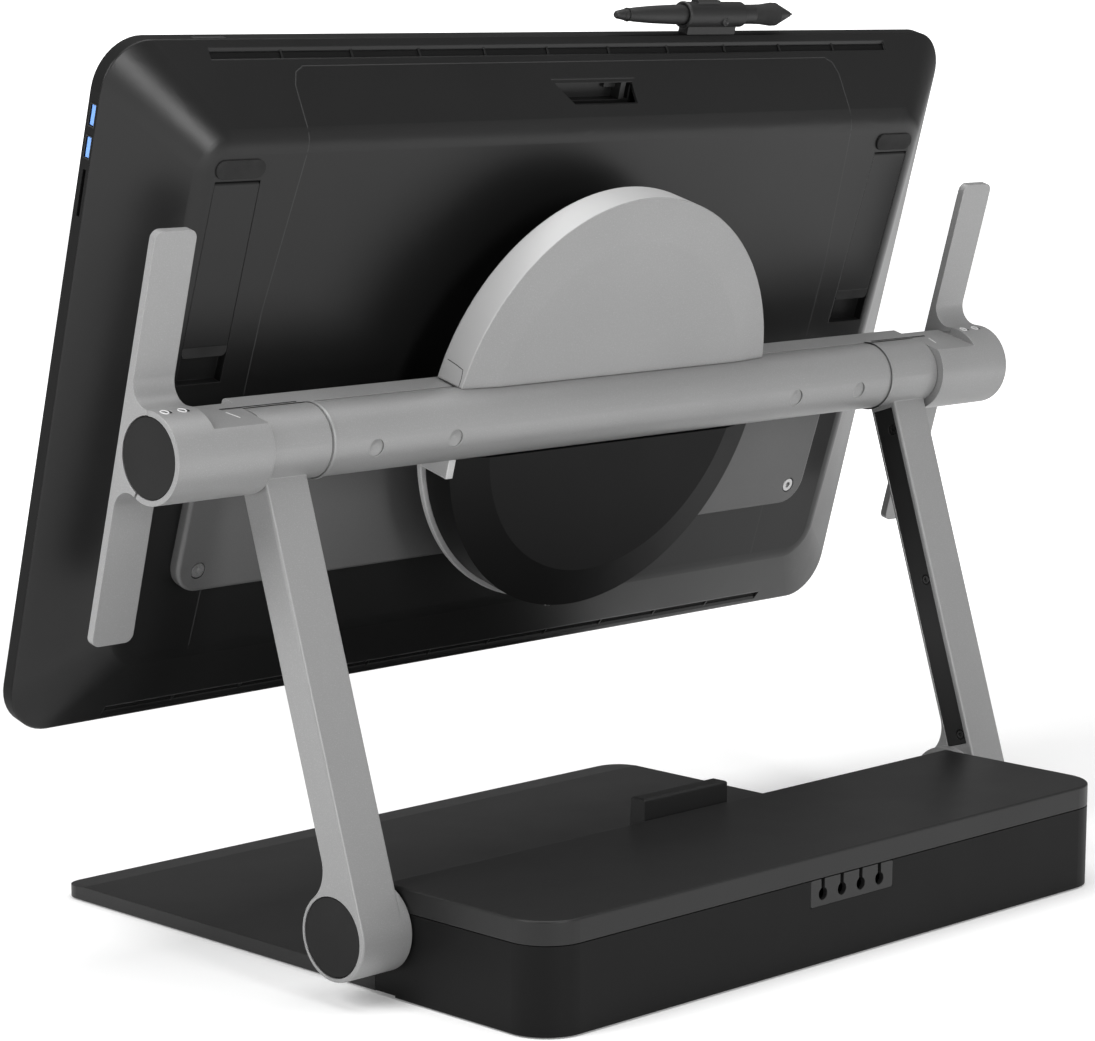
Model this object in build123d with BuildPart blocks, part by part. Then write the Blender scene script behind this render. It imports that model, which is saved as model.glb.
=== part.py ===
from build123d import *
import os
from math import atan, cos, degrees, radians, sin, sqrt, tan

os.makedirs("parts", exist_ok=True)

# Pen display on a two-arm adjustable stand. Millimetres, +Z up, the screen faces -Y.
# The origin is on the desk, under the middle of the base. Left pieces are on the +X side.

# --- base -----------------------------------------------------------------------------
BOX_HALF_X = 237.3
BOX_FRONT_Y = 76.4
BOX_REAR_Y = 206.4
BOX_BOTTOM = 1.0
BOX_WALL = 3.0
BOX_CORNER_R = 25.0
SEAM_Z = 49.3
LID_FRONT_Y = 83.6
LID_TOP = 62.9
LID_GAP = 0.5
PLATE_HALF_X = 235.5
PLATE_FRONT_Y = -206.4
PLATE_REAR_Y = 74.0
PLATE_TOP = 9.3
PLATE_CREASE = 22.0
PLATE_DROP = 1.9
PLATE_CORNER_R = 14.0
FOOT_T = 1.0
WEIGHT_T = 2.0
WEIGHT_HALF_X, WEIGHT_FRONT_Y = 228.0, -199.0
TONGUE_HALF_X, TONGUE_REAR_Y = 207.0, 186.0
ORGANIZER_X = -3.2
ORGANIZER_W = 70.0
ORGANIZER_Z = 33.8
KEYHOLE_PITCH = 16.1
KEYHOLE_Z = 40.6
KEYHOLE_R = 3.6
KEYHOLE_SLOT = 3.0
STOP_W = 70.0
STOP_FRONT_Y = 71.5
STOP_T = 11.0
STOP_TOP = 75.0

# --- arms -----------------------------------------------------------------------------
HUB_Y, HUB_Z = 82.1, 39.2
HUB_R = 24.5
HUB_INNER_X = 238.2
ARM_INNER_X = 243.6
ARM_OUTER_X = 273.3
ARM_T = 20.4
ARM_TOP_OFFSET = 6.65
FLARE_R = 20.0
KNUCKLE_R = 20.3
KNUCKLE_INNER_X = 232.8
KNUCKLE_OUTER_X = 275.9
SPINDLE_R = 8.0
RUNNING = 0.05
BUSH_R = 11.0
SPRING_INNER_R, SPRING_OUTER_R = 13.4, 20.2
CAP_R = 22.0
CHANNEL_REAR, CHANNEL_FRONT = 3.2, 18.4
STRIP_T = 2.4
STRIP_SCREW_Z = (72.4, 167.5, 259.9)
STRIP_SCREW_IN = 6.8

# --- head (turns about the cross tube's axis) -----------------------------------------
TUBE_Y, TUBE_Z = 19.3, 294.5
LEAN = 15.36
TUBE_R = 20.3
TUBE_DEPTH = 93.6
BEAM_FRONT = -24.0
BEAM_HALF_V = 19.5
BEAM_SPLIT = -7.5
COVER_HALF_X = 232.3
COVER_T = 2.6
SLEEVE_R = 25.0
SLEEVE_INNER_X = 276.4
SLEEVE_OUTER_X = 340.6
LEVER_INNER_X = 313.3
LEVER_CORE_R = 22.0
LEVER_RING_R = 22.3
LEVER_SPLIT = 105.2
LEVER_PLAY = 3.6
LEVER_FRONT = -26.3
LEVER_BAR_T = 4.6
LEVER_TOP, LEVER_BOTTOM = 115.1, -116.4
LEVER_BLEND_R = 12.0
TUBE_SCREW_X = (200.5, 142.0)

# --- rotation unit between head and display (depths from the glass) ---------------------
DISC_R = 126.7
DISC_CORE_R = 101.0
DISC_FRONT = 73.8
UPPER_EDGE, UPPER_FACE = 94.4, 96.6
LOWER_EDGE, LOWER_FACE = 94.4, 100.6
RIM_R = 128.7
RIM_FRONT, RIM_T = 69.8, 3.4
ROTOR_FRONT, ROTOR_REAR = 65.5, 69.6
ROTOR_R = 118.0
AXLE_R = 12.0
AXLE_FLANGE_R = 30.0
AXLE_HEAD_R, AXLE_HEAD_T = 14.5, 3.6
TURNTABLE_R0, TURNTABLE_R1 = 31.0, 80.0
TURN_GAP = 0.4

# --- display --------------------------------------------------------------------------
DISPLAY_W, DISPLAY_H = 677.0, 394.0
CORNER_R = 28.0
RIM_WALL = 8.0
WEDGE = 2.8
BACK_DEPTH = 36.8
BACK_W, BACK_H = 580.0, 304.0
BACK_BLEND_R = 20.0
SHELL_T = 2.5
LEG_X = 267.0
LEG_W = 31.0
LEG_PIVOT_V = 127.3
LEG_TIP_V = 30.0
LEG_T = 5.0
PAD_V = 136.9
PAD_L, PAD_H, PAD_T = 33.0, 10.5, 1.3
ADAPTER_HALF_X, ADAPTER_TOP, ADAPTER_BOTTOM = 261.0, -6.0, -110.0
ADAPTER_T = 7.0
ADAPTER_HUB_R = 84.0
ADAPTER_SCREWS = ((246.3, -96.6), (-246.3, -96.6), (52.0, 52.0), (-52.0, 52.0))
PORT_V = (156.0, 138.8)
CARD_V = 114.2
PEN_V, PEN_DEPTH = 208.5, 5.0
PEN_TAIL_X, PEN_LENGTH = -33.0, 156.0
HOLDER_X0, HOLDER_X1 = -86.0, -144.0
HOLDER_WALL = 1.3
TAB_X0, TAB_X1, TAB_RISE, TAB_HALF_N = -99.0, -118.0, 1.6, 3.0
BUTTON_X = 270.0

lean = radians(LEAN)
DEPTH_DIR = (0, cos(lean), -sin(lean))
# Seen from behind the display: local x to the right (-X), y up the display, z out of its back.
DISPLAY = Plane(
    origin=(0, TUBE_Y - TUBE_DEPTH * cos(lean), TUBE_Z + TUBE_DEPTH * sin(lean)),
    x_dir=(-1, 0, 0),
    z_dir=DEPTH_DIR,
)
back_lean = radians(LEAN + WEDGE)
BACK = Plane(
    origin=DISPLAY.offset(BACK_DEPTH).origin,
    x_dir=(-1, 0, 0),
    z_dir=(0, cos(back_lean), -sin(back_lean)),
)
# Across the head: local x rearward from the tube's axis, y up the display, z along +X.
HEAD = Plane(origin=(0, TUBE_Y, TUBE_Z), x_dir=DEPTH_DIR, z_dir=(1, 0, 0))
SIDES = {"left": 1, "right": -1}


def save(part, name):
    part.label = name
    export_step(part, f"parts/{name}.step")


def side(x):
    """The plane across the arms at x: local x along +Y, local y up."""
    return Plane.YZ.offset(x)


def mirror_if(builder, sign):
    """The finished left piece, or its mirror image for the right side."""
    return builder.part if sign > 0 else builder.part.mirror(Plane.YZ)


# ======================================================================================
# Base: weighted plate, rear box with storage bay, lid, stop, feet
# ======================================================================================
with BuildPart() as base_plate:
    with BuildSketch(Plane.XY.offset(FOOT_T)):
        with Locations((0, (PLATE_FRONT_Y + PLATE_REAR_Y) / 2)):
            Rectangle(2 * PLATE_HALF_X, PLATE_REAR_Y - PLATE_FRONT_Y)
    extrude(amount=PLATE_TOP - FOOT_T)
    fillet(base_plate.edges().filter_by(Axis.Z).group_by(Axis.Y)[0], radius=PLATE_CORNER_R)
    with BuildSketch(Plane.YZ):
        with BuildLine():
            Polyline(
                (PLATE_FRONT_Y - 1, PLATE_TOP - PLATE_DROP),
                (PLATE_FRONT_Y + PLATE_CREASE, PLATE_TOP),
                (PLATE_FRONT_Y - 1, PLATE_TOP + 1),
                close=True,
            )
        make_face()
    extrude(amount=PLATE_HALF_X, both=True, mode=Mode.SUBTRACT)
    with BuildSketch(Plane.XY.offset(FOOT_T)):
        with Locations((0, (WEIGHT_FRONT_Y + PLATE_REAR_Y) / 2)):
            Rectangle(2 * WEIGHT_HALF_X, PLATE_REAR_Y - WEIGHT_FRONT_Y)
    extrude(amount=WEIGHT_T, mode=Mode.SUBTRACT)
save(base_plate.part, "base_plate")

# steel sheet under the plate, with a tongue that carries the rear box
with BuildPart() as base_weight:
    with BuildSketch(Plane.XY.offset(FOOT_T)):
        with Locations((0, (WEIGHT_FRONT_Y + PLATE_REAR_Y) / 2)):
            Rectangle(2 * WEIGHT_HALF_X, PLATE_REAR_Y - WEIGHT_FRONT_Y)
        with Locations((0, (PLATE_REAR_Y + TONGUE_REAR_Y) / 2)):
            Rectangle(2 * TONGUE_HALF_X, TONGUE_REAR_Y - PLATE_REAR_Y)
    extrude(amount=WEIGHT_T)
save(base_weight.part, "base_weight")


def box_outline(inset, front_y):
    """Plan of the rear box with its two large rear corners, offset inwards by inset."""
    width = 2 * (BOX_HALF_X - inset)
    depth = BOX_REAR_Y - front_y - 2 * inset
    with Locations((0, (BOX_REAR_Y + front_y) / 2)):
        Rectangle(width, depth)


def round_box_corners(builder, inset):
    fillet(builder.vertices().group_by(Axis.Y)[-1], radius=BOX_CORNER_R - inset)


FLOOR_Z = FOOT_T + WEIGHT_T
EAR_X, EAR_FRONT_Y, EAR_REAR_Y = 196.0, 66.0, 100.0
SPINDLE_X0, SPINDLE_X1 = 202.0, 262.5
with BuildPart() as rear_box:
    with BuildSketch(Plane.XY.offset(BOX_BOTTOM)) as outer:
        box_outline(0, BOX_FRONT_Y)
        round_box_corners(outer, 0)
    extrude(amount=SEAM_Z - BOX_BOTTOM)
    with BuildSketch(Plane.XY.offset(FLOOR_Z + BOX_WALL)) as bay:
        box_outline(BOX_WALL, BOX_FRONT_Y)
        round_box_corners(bay, BOX_WALL)
    extrude(amount=SEAM_Z, mode=Mode.SUBTRACT)
    with Locations((0, (BOX_FRONT_Y + BOX_REAR_Y) / 2 - 10, BOX_BOTTOM)):
        Box(
            2 * BOX_HALF_X - 59,
            BOX_REAR_Y - BOX_FRONT_Y - 18,
            FLOOR_Z - BOX_BOTTOM,
            align=(Align.CENTER, Align.CENTER, Align.MIN),
            mode=Mode.SUBTRACT,
        )
    for sign in (1, -1):
        ear_x = sign * (EAR_X + BOX_HALF_X) / 2
        with Locations((ear_x, (EAR_FRONT_Y + EAR_REAR_Y) / 2, PLATE_TOP + 0.3)):
            Box(
                BOX_HALF_X - EAR_X,
                EAR_REAR_Y - EAR_FRONT_Y,
                SEAM_Z - PLATE_TOP - 0.3,
                align=(Align.CENTER, Align.CENTER, Align.MIN),
            )
        with BuildSketch(side(sign * SPINDLE_X0)):
            with Locations((HUB_Y, HUB_Z)):
                Circle(SPINDLE_R)
        extrude(amount=sign * (BOX_HALF_X - SPINDLE_X0 + 1), mode=Mode.SUBTRACT)
        # the lowest front end of each side wall is cut back a little
        with Locations((sign * BOX_HALF_X, BOX_FRONT_Y, 0)):
            Box(12, 31, 2.1, align=(Align.CENTER, Align.CENTER, Align.MIN), mode=Mode.SUBTRACT)
    # opening for the cable organizer in the rear wall
    with BuildSketch(Plane.XZ.offset(-BOX_REAR_Y)):
        with Locations((ORGANIZER_X, (ORGANIZER_Z + SEAM_Z) / 2)):
            Rectangle(ORGANIZER_W, SEAM_Z - ORGANIZER_Z)
    extrude(amount=BOX_WALL, mode=Mode.SUBTRACT)
save(rear_box.part, "rear_box")

KEYHOLES = [ORGANIZER_X + 0.7 + (i - 1.5) * KEYHOLE_PITCH for i in range(4)]
with BuildPart() as cable_organizer:
    with BuildSketch(Plane.XZ.offset(-BOX_REAR_Y)) as insert:
        with Locations((ORGANIZER_X, (ORGANIZER_Z + SEAM_Z) / 2)):
            Rectangle(ORGANIZER_W - 0.2, SEAM_Z - ORGANIZER_Z - 0.2)
        fillet(insert.vertices().group_by(Axis.Z)[0], radius=1.2)
        with Locations([(x, KEYHOLE_Z) for x in KEYHOLES]):
            Circle(KEYHOLE_R, mode=Mode.SUBTRACT)
        with Locations([(x, (KEYHOLE_Z + SEAM_Z + 1) / 2) for x in KEYHOLES]):
            Rectangle(KEYHOLE_SLOT, SEAM_Z + 1 - KEYHOLE_Z, mode=Mode.SUBTRACT)
    extrude(amount=BOX_WALL)
save(cable_organizer.part, "cable_organizer")

with BuildPart() as base_lid:
    with BuildSketch(Plane.XY.offset(SEAM_Z + LID_GAP)) as lid_outer:
        box_outline(0, LID_FRONT_Y)
        round_box_corners(lid_outer, 0)
    extrude(amount=LID_TOP - SEAM_Z - LID_GAP)
    fillet(base_lid.faces().sort_by(Axis.Z)[-1].edges(), radius=1.2)
    with BuildSketch(Plane.XY.offset(SEAM_Z + LID_GAP)) as lid_inner:
        box_outline(BOX_WALL, LID_FRONT_Y)
        round_box_corners(lid_inner, BOX_WALL)
    extrude(amount=LID_TOP - SEAM_Z - LID_GAP - BOX_WALL, mode=Mode.SUBTRACT)
    # spigot wall that drops inside the box
    with BuildSketch(Plane.XY.offset(SEAM_Z - 3)) as spigot:
        with Locations((0, 152)):
            Rectangle(400, 90)
        offset(amount=-1.6, mode=Mode.SUBTRACT)
    extrude(amount=LID_TOP - BOX_WALL - SEAM_Z + 3)
save(base_lid.part, "base_lid")

STOP_HALF = STOP_W / 2
with BuildPart() as display_stop:
    with BuildSketch(side(-STOP_HALF)):
        with BuildLine():
            Polyline(
                (STOP_FRONT_Y - 4, PLATE_TOP),
                (BOX_FRONT_Y - 0.3, PLATE_TOP),
                (BOX_FRONT_Y - 0.3, SEAM_Z + LID_GAP),
                (STOP_FRONT_Y + STOP_T, SEAM_Z + LID_GAP),
                (STOP_FRONT_Y + STOP_T, STOP_TOP),
                (STOP_FRONT_Y, STOP_TOP),
                close=True,
            )
        make_face()
    extrude(amount=STOP_W)
    fillet(display_stop.faces().sort_by(Axis.Z)[-1].edges(), radius=1.5)
save(display_stop.part, "display_stop")

with BuildPart() as ballast_block:
    with BuildSketch(Plane.XY.offset(FLOOR_Z + BOX_WALL)):
        with Locations((0, 140)):
            RectangleRounded(330, 70, 6)
    extrude(amount=9)
save(ballast_block.part, "ballast_block")

FOOT_SPOTS = [(x, y) for x in (-195, 195) for y in (-180, 40, 150)]
with BuildPart() as base_feet:
    with BuildSketch(Plane.XY):
        with Locations(FOOT_SPOTS):
            SlotOverall(44, 14)
    extrude(amount=FOOT_T)
save(base_feet.part, "base_feet")

with BuildPart() as base_screws:
    for x in (-150, 0, 150):
        with BuildSketch(Plane.XY.offset(FLOOR_Z + BOX_WALL)):
            with Locations((x, 96), (x, 184)):
                Circle(4.0)
        extrude(amount=2.4)
        with BuildSketch(Plane.XY.offset(FLOOR_Z + BOX_WALL + 1.2)):
            with Locations((x, 96), (x, 184)):
                RegularPolygon(1.9, 6)
        extrude(amount=1.4, mode=Mode.SUBTRACT)
save(base_screws.part, "base_screws")

# ======================================================================================
# Arms: two cast arms on hub spindles, joined by the head's shafts
# ======================================================================================
hub_to_tube = Vector(0, TUBE_Y - HUB_Y, TUBE_Z - HUB_Z)
centre_lean = degrees(atan((HUB_Y - TUBE_Y) / (TUBE_Z - HUB_Z)))
rear_lean = radians(centre_lean + degrees(atan((HUB_R - ARM_TOP_OFFSET) / hub_to_tube.length)))
ARM_UP = Vector(-sin(rear_lean), cos(rear_lean))
ARM_REARWARD = Vector(cos(rear_lean), sin(rear_lean))
ARM_LENGTH = Vector(TUBE_Y - HUB_Y, TUBE_Z - HUB_Z).dot(ARM_UP)


def arm_point(along, behind):
    """A point (y, z) on the arm: along it from the hub, and behind (or in front of) its rear face."""
    return Vector(HUB_Y, HUB_Z) + ARM_UP * along + ARM_REARWARD * (HUB_R + behind)


def arm_at_height(z, behind):
    along = (z - arm_point(0, behind).Y) / ARM_UP.Y
    return arm_point(along, behind)


POCKET_X = 267.0
BUSH_X1 = 262.0
SPRING_X0, SPRING_X1 = 240.5, 256.0
CAP_RECESS_R = CAP_R + 0.15
CHANNEL_X1 = 256.0
CHANNEL_LOW, CHANNEL_HIGH = 23.0, 240.0


def channel_corners(inset):
    return [
        arm_point(CHANNEL_LOW + inset, -CHANNEL_REAR - inset),
        arm_point(CHANNEL_HIGH - inset, -CHANNEL_REAR - inset),
        arm_point(CHANNEL_HIGH - inset, -CHANNEL_FRONT + inset),
        arm_point(CHANNEL_LOW + inset, -CHANNEL_FRONT + inset),
    ]


with BuildPart() as arm:
    with BuildSketch(side(ARM_INNER_X)) as arm_profile:
        with BuildLine():
            Polyline(
                arm_point(0, 0),
                arm_point(ARM_LENGTH, 0),
                arm_point(ARM_LENGTH, -ARM_T),
                arm_point(0, -ARM_T),
                close=True,
            )
        make_face()
        with Locations((HUB_Y, HUB_Z)):
            Circle(HUB_R)
        flare = arm_profile.vertices().sort_by_distance(arm_at_height(HUB_Z + 28, -ARM_T))[0]
        fillet(flare, radius=FLARE_R)
    extrude(amount=ARM_OUTER_X - ARM_INNER_X)
    arm_edges = arm.edges().filter_by(GeomType.LINE).filter_by(Axis.X, reverse=True)
    fillet([e for e in arm_edges if e.length > 150], radius=1.6)
    with BuildSketch(side(HUB_INNER_X)):
        with Locations((HUB_Y, HUB_Z)):
            Circle(HUB_R)
    extrude(amount=ARM_OUTER_X - HUB_INNER_X - 5)
    with BuildSketch(side(KNUCKLE_INNER_X)):
        with Locations((TUBE_Y, TUBE_Z)):
            Circle(KNUCKLE_R)
    extrude(amount=KNUCKLE_OUTER_X - KNUCKLE_INNER_X)
    # hub: bush bore, spring pocket, retainer pocket, cap recess
    for x0, x1, radius in (
        (HUB_INNER_X - 1, ARM_OUTER_X, BUSH_R),
        (BUSH_X1, POCKET_X, 15.0),
        (POCKET_X, ARM_OUTER_X + 1, CAP_RECESS_R),
    ):
        with BuildSketch(side(x0)):
            with Locations((HUB_Y, HUB_Z)):
                Circle(radius)
        extrude(amount=x1 - x0, mode=Mode.SUBTRACT)
    with BuildSketch(side(HUB_INNER_X - 1)):
        with Locations((HUB_Y, HUB_Z)):
            Circle(SPRING_OUTER_R + 1)
            Circle(SPRING_INNER_R - 1, mode=Mode.SUBTRACT)
    extrude(amount=SPRING_X1 + 1 - HUB_INNER_X + 1, mode=Mode.SUBTRACT)
    # knuckle: bush bore
    with BuildSketch(side(KNUCKLE_INNER_X - 1)):
        with Locations((TUBE_Y, TUBE_Z)):
            Circle(BUSH_R)
    extrude(amount=KNUCKLE_OUTER_X - KNUCKLE_INNER_X + 2, mode=Mode.SUBTRACT)
    # cable channel in the inner face
    with BuildSketch(side(ARM_INNER_X)):
        with BuildLine():
            Polyline(*channel_corners(0), close=True)
        make_face()
    extrude(amount=CHANNEL_X1 - ARM_INNER_X, mode=Mode.SUBTRACT)

with BuildPart() as strip:
    with BuildSketch(side(ARM_INNER_X + 0.3)):
        with BuildLine():
            Polyline(*channel_corners(0.15), close=True)
        make_face()
    extrude(amount=STRIP_T)
    for z in STRIP_SCREW_Z:
        spot = arm_at_height(z, -STRIP_SCREW_IN)
        with BuildSketch(side(ARM_INNER_X)):
            with Locations(spot):
                Circle(3.2)
        extrude(amount=1.6, mode=Mode.SUBTRACT)
        with BuildSketch(side(ARM_INNER_X)):
            with Locations(spot):
                Circle(1.6)
        extrude(amount=5, mode=Mode.SUBTRACT)

with BuildPart() as cover_screws:
    for z in STRIP_SCREW_Z:
        spot = arm_at_height(z, -STRIP_SCREW_IN)
        with BuildSketch(side(ARM_INNER_X + 0.4)):
            with Locations(spot):
                Circle(2.6)
                RegularPolygon(1.3, 6, mode=Mode.SUBTRACT)
        extrude(amount=1.2)
        with BuildSketch(side(ARM_INNER_X + 1.2)):
            with Locations(spot):
                Circle(1.5)
        extrude(amount=5)
    mirror(about=Plane.YZ)
save(cover_screws.part, "cover_screws")

for name, sign in SIDES.items():
    save(mirror_if(arm, sign), f"{name}_arm")
    save(mirror_if(strip, sign), f"{name}_cable_cover")

with BuildPart() as hub_caps:
    with BuildSketch(side(POCKET_X + 1.0)):
        with Locations((HUB_Y, HUB_Z)):
            Circle(CAP_R)
    extrude(amount=ARM_OUTER_X - POCKET_X - 1.4)
    fillet(hub_caps.faces().sort_by(Axis.X)[-1].edges(), radius=0.8)
    mirror(about=Plane.YZ)
save(hub_caps.part, "hub_caps")

with BuildPart() as hub_bushes:
    with BuildSketch(side(HUB_INNER_X + 0.2)):
        with Locations((HUB_Y, HUB_Z)):
            Circle(BUSH_R)
            Circle(SPINDLE_R + RUNNING, mode=Mode.SUBTRACT)
    extrude(amount=BUSH_X1 - HUB_INNER_X - 0.2)
    mirror(about=Plane.YZ)
save(hub_bushes.part, "hub_bushes")

SPINDLE_HEAD_R, SPINDLE_HEAD_T = 12.5, 3.6
with BuildPart() as hub_spindles:
    with BuildSketch(side(SPINDLE_X0)):
        with Locations((HUB_Y, HUB_Z)):
            Circle(SPINDLE_R)
    extrude(amount=SPINDLE_X1 - SPINDLE_X0)
    with BuildSketch(side(SPINDLE_X1)):
        with Locations((HUB_Y, HUB_Z)):
            RegularPolygon(SPINDLE_HEAD_R, 6, major_radius=False)
    extrude(amount=SPINDLE_HEAD_T)
    chamfer(hub_spindles.faces().sort_by(Axis.X)[-1].edges(), length=0.8)
    mirror(about=Plane.YZ)
save(hub_spindles.part, "hub_spindles")

with BuildPart() as knuckle_bushes:
    with BuildSketch(side(KNUCKLE_INNER_X)):
        with Locations((TUBE_Y, TUBE_Z)):
            Circle(BUSH_R)
            Circle(SPINDLE_R + RUNNING, mode=Mode.SUBTRACT)
    extrude(amount=KNUCKLE_OUTER_X - KNUCKLE_INNER_X)
    mirror(about=Plane.YZ)
save(knuckle_bushes.part, "knuckle_bushes")

# Flat spiral springs that carry part of the display's weight, one in each hub
SPIRAL_WIRE = 0.9
SPIRAL_HALF_TURNS = 9
SPIRAL_STEP = (SPRING_OUTER_R - SPRING_INNER_R - SPIRAL_WIRE) / SPIRAL_HALF_TURNS


def spiral_spring(x0, x1, y, z):
    with BuildPart() as spring:
        with BuildSketch(side(x0)):
            with BuildLine():
                radius = SPRING_INNER_R + SPIRAL_WIRE / 2
                reach = radius
                for i in range(SPIRAL_HALF_TURNS):
                    way = 1 if i % 2 == 0 else -1
                    new_reach = reach + SPIRAL_STEP
                    middle = (reach + new_reach) / 2
                    centre = y + way * (reach - middle)
                    ThreePointArc(
                        (y + way * reach, z),
                        (centre, z + way * middle),
                        (y - way * new_reach, z),
                    )
                    reach = new_reach
            trace(line_width=SPIRAL_WIRE)
        extrude(amount=x1 - x0)
    return spring


with BuildPart() as hub_springs:
    add(spiral_spring(SPRING_X0, SPRING_X1, HUB_Y, HUB_Z).part)
    mirror(about=Plane.YZ)
save(hub_springs.part, "hub_springs")

# ======================================================================================
# Head: die-cast beam with two sleeves, rear tube cover, brakes, levers
# ======================================================================================
NOTCH_V = BEAM_HALF_V
SLEEVE_BORE_R = 18.6
SLEEVE_WEB_X = 284.0
KNUCKLE_CLEAR = 0.5
SHAFT_X0, SHAFT_X1 = 208.0, 326.0
SHAFT_HEAD_R, SHAFT_HEAD_T = 11.0, 6.0
BRAKE_DISCS, BRAKE_PITCH, BRAKE_T = 6, 5.0, 3.0
HEAD_CAP_T, HEAD_CAP_SKIRT = 2.0, 4.0
CAP_X = SLEEVE_OUTER_X - 2.2
SLEEVE_SCREW_X = (321.0, 332.5)


TUBE_SCREWS = [sign * x for sign in (1, -1) for x in TUBE_SCREW_X]
SCREW_HEAD_R, SCREW_HEAD_T, SCREW_DISH, SCREW_SUNK = 5.0, 2.4, 1.0, 1.0
SLIT_END_X, SLIT_REAR, SLIT_W, SLIT_DEEP = 290.0, -6.9, 1.1, 2.0


def ring_point(radius, angle):
    return (radius * cos(radians(angle)), radius * sin(radians(angle)))


def across(x, way):
    """A plane through the tube's axis at x that faces up the display or out of its back."""
    normal = HEAD.y_dir if way == "up" else HEAD.x_dir
    return Plane(origin=HEAD.offset(x).origin, x_dir=(1, 0, 0), z_dir=normal)


with BuildPart() as head_beam:
    # front block along the whole length between the sleeves
    with BuildSketch(HEAD.offset(-SLEEVE_INNER_X)):
        with Locations(((BEAM_FRONT + BEAM_SPLIT) / 2, 0)):
            Rectangle(BEAM_SPLIT - BEAM_FRONT, 2 * BEAM_HALF_V)
    extrude(amount=2 * SLEEVE_INNER_X)
    front_edges = head_beam.faces().sort_by(Axis((0, 0, 0), DEPTH_DIR))[0].edges()
    fillet(front_edges.filter_by(Axis.X), radius=2.5)
    for sign in (1, -1):
        # room for the arm's knuckle
        with BuildSketch(HEAD.offset(sign * COVER_HALF_X)):
            Circle(KNUCKLE_R + KNUCKLE_CLEAR)
        extrude(amount=sign * (SLEEVE_INNER_X - COVER_HALF_X), mode=Mode.SUBTRACT)
        # inner half of the sleeve, with the flat and the front block running into it
        with BuildSketch(HEAD.offset(sign * SLEEVE_INNER_X)):
            Circle(SLEEVE_R)
            with Locations((0, SLEEVE_R + NOTCH_V)):
                Rectangle(3 * SLEEVE_R, 2 * SLEEVE_R, mode=Mode.SUBTRACT)
        extrude(amount=sign * (LEVER_INNER_X - SLEEVE_INNER_X))
        # outer half: a core with a ring over its rear, where the lever does not reach
        with BuildSketch(HEAD.offset(sign * LEVER_INNER_X)):
            Circle(SLEEVE_R)
            with BuildLine():
                Polyline(
                    (0, 0),
                    ring_point(2 * SLEEVE_R, LEVER_SPLIT),
                    (-2 * SLEEVE_R, 2 * SLEEVE_R),
                    (-2 * SLEEVE_R, -2 * SLEEVE_R),
                    ring_point(2 * SLEEVE_R, LEVER_PLAY - LEVER_SPLIT),
                    close=True,
                )
            make_face(mode=Mode.SUBTRACT)
            Circle(LEVER_CORE_R)
        extrude(amount=sign * (SLEEVE_OUTER_X - LEVER_INNER_X))
        # recess for the end cap, and holes for the two sleeve screws
        with BuildSketch(HEAD.offset(sign * CAP_X)):
            Circle(LEVER_CORE_R)
        extrude(amount=sign * 5, mode=Mode.SUBTRACT)
        # the gap beside the knuckle runs on as a slit in the sleeve's flat
        with BuildSketch(across(0, "up").offset(BEAM_HALF_V - SLIT_DEEP)):
            with Locations((sign * (SLEEVE_INNER_X + SLIT_END_X) / 2, SLIT_REAR - SLIT_W / 2)):
                Rectangle(SLIT_END_X - SLEEVE_INNER_X + 1, SLIT_W)
        extrude(amount=2 * SLIT_DEEP, mode=Mode.SUBTRACT)
        for x in SLEEVE_SCREW_X:
            with BuildSketch(across(sign * x, "up").offset(SLEEVE_R - 2.2)):
                Circle(2.3)
            extrude(amount=5, mode=Mode.SUBTRACT)
        for x in TUBE_SCREW_X:
            with BuildSketch(across(sign * x, "rear").offset(BEAM_SPLIT - 4)):
                Circle(2.0)
            extrude(amount=8, mode=Mode.SUBTRACT)
        # hollow sleeve and bore for the shaft
        with BuildSketch(HEAD.offset(sign * SLEEVE_WEB_X)):
            Circle(SLEEVE_BORE_R)
        extrude(amount=sign * (SLEEVE_OUTER_X - SLEEVE_WEB_X), mode=Mode.SUBTRACT)
        with BuildSketch(HEAD.offset(sign * (SLEEVE_INNER_X - 1))):
            Circle(SPINDLE_R)
        extrude(amount=sign * (SLEEVE_WEB_X - SLEEVE_INNER_X + 2), mode=Mode.SUBTRACT)
        # post that holds the inner end of the shaft
        with BuildSketch(HEAD.offset(sign * SHAFT_X0)):
            with Locations((BEAM_SPLIT / 2, 0)):
                Rectangle(-BEAM_SPLIT + 1, 24)
            Circle(12)
            Circle(SPINDLE_R, mode=Mode.SUBTRACT)
        extrude(amount=sign * 22)
        with BuildSketch(HEAD.offset(sign * SHAFT_X0)):
            Circle(SPINDLE_R)
        extrude(amount=sign * (COVER_HALF_X - SHAFT_X0), mode=Mode.SUBTRACT)
    # hole for the rotation axle
    with BuildSketch(DISPLAY.offset(ROTOR_REAR - 1)):
        Circle(AXLE_R + RUNNING)
    extrude(amount=20, mode=Mode.SUBTRACT)
save(head_beam.part, "head_beam")

with BuildPart() as tube_cover:
    with BuildSketch(HEAD.offset(-COVER_HALF_X)):
        Circle(TUBE_R)
        Circle(TUBE_R - COVER_T, mode=Mode.SUBTRACT)
        with Locations((BEAM_SPLIT + 0.3 - TUBE_R, 0)):
            Rectangle(2 * TUBE_R, 3 * TUBE_R, mode=Mode.SUBTRACT)
    extrude(amount=2 * COVER_HALF_X)
    for x in TUBE_SCREWS:
        with BuildSketch(across(x, "rear").offset(TUBE_R - COVER_T - 3)):
            Circle(SCREW_HEAD_R + 0.1)
        extrude(amount=COVER_T + 4, mode=Mode.SUBTRACT)
save(tube_cover.part, "tube_cover")

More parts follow.
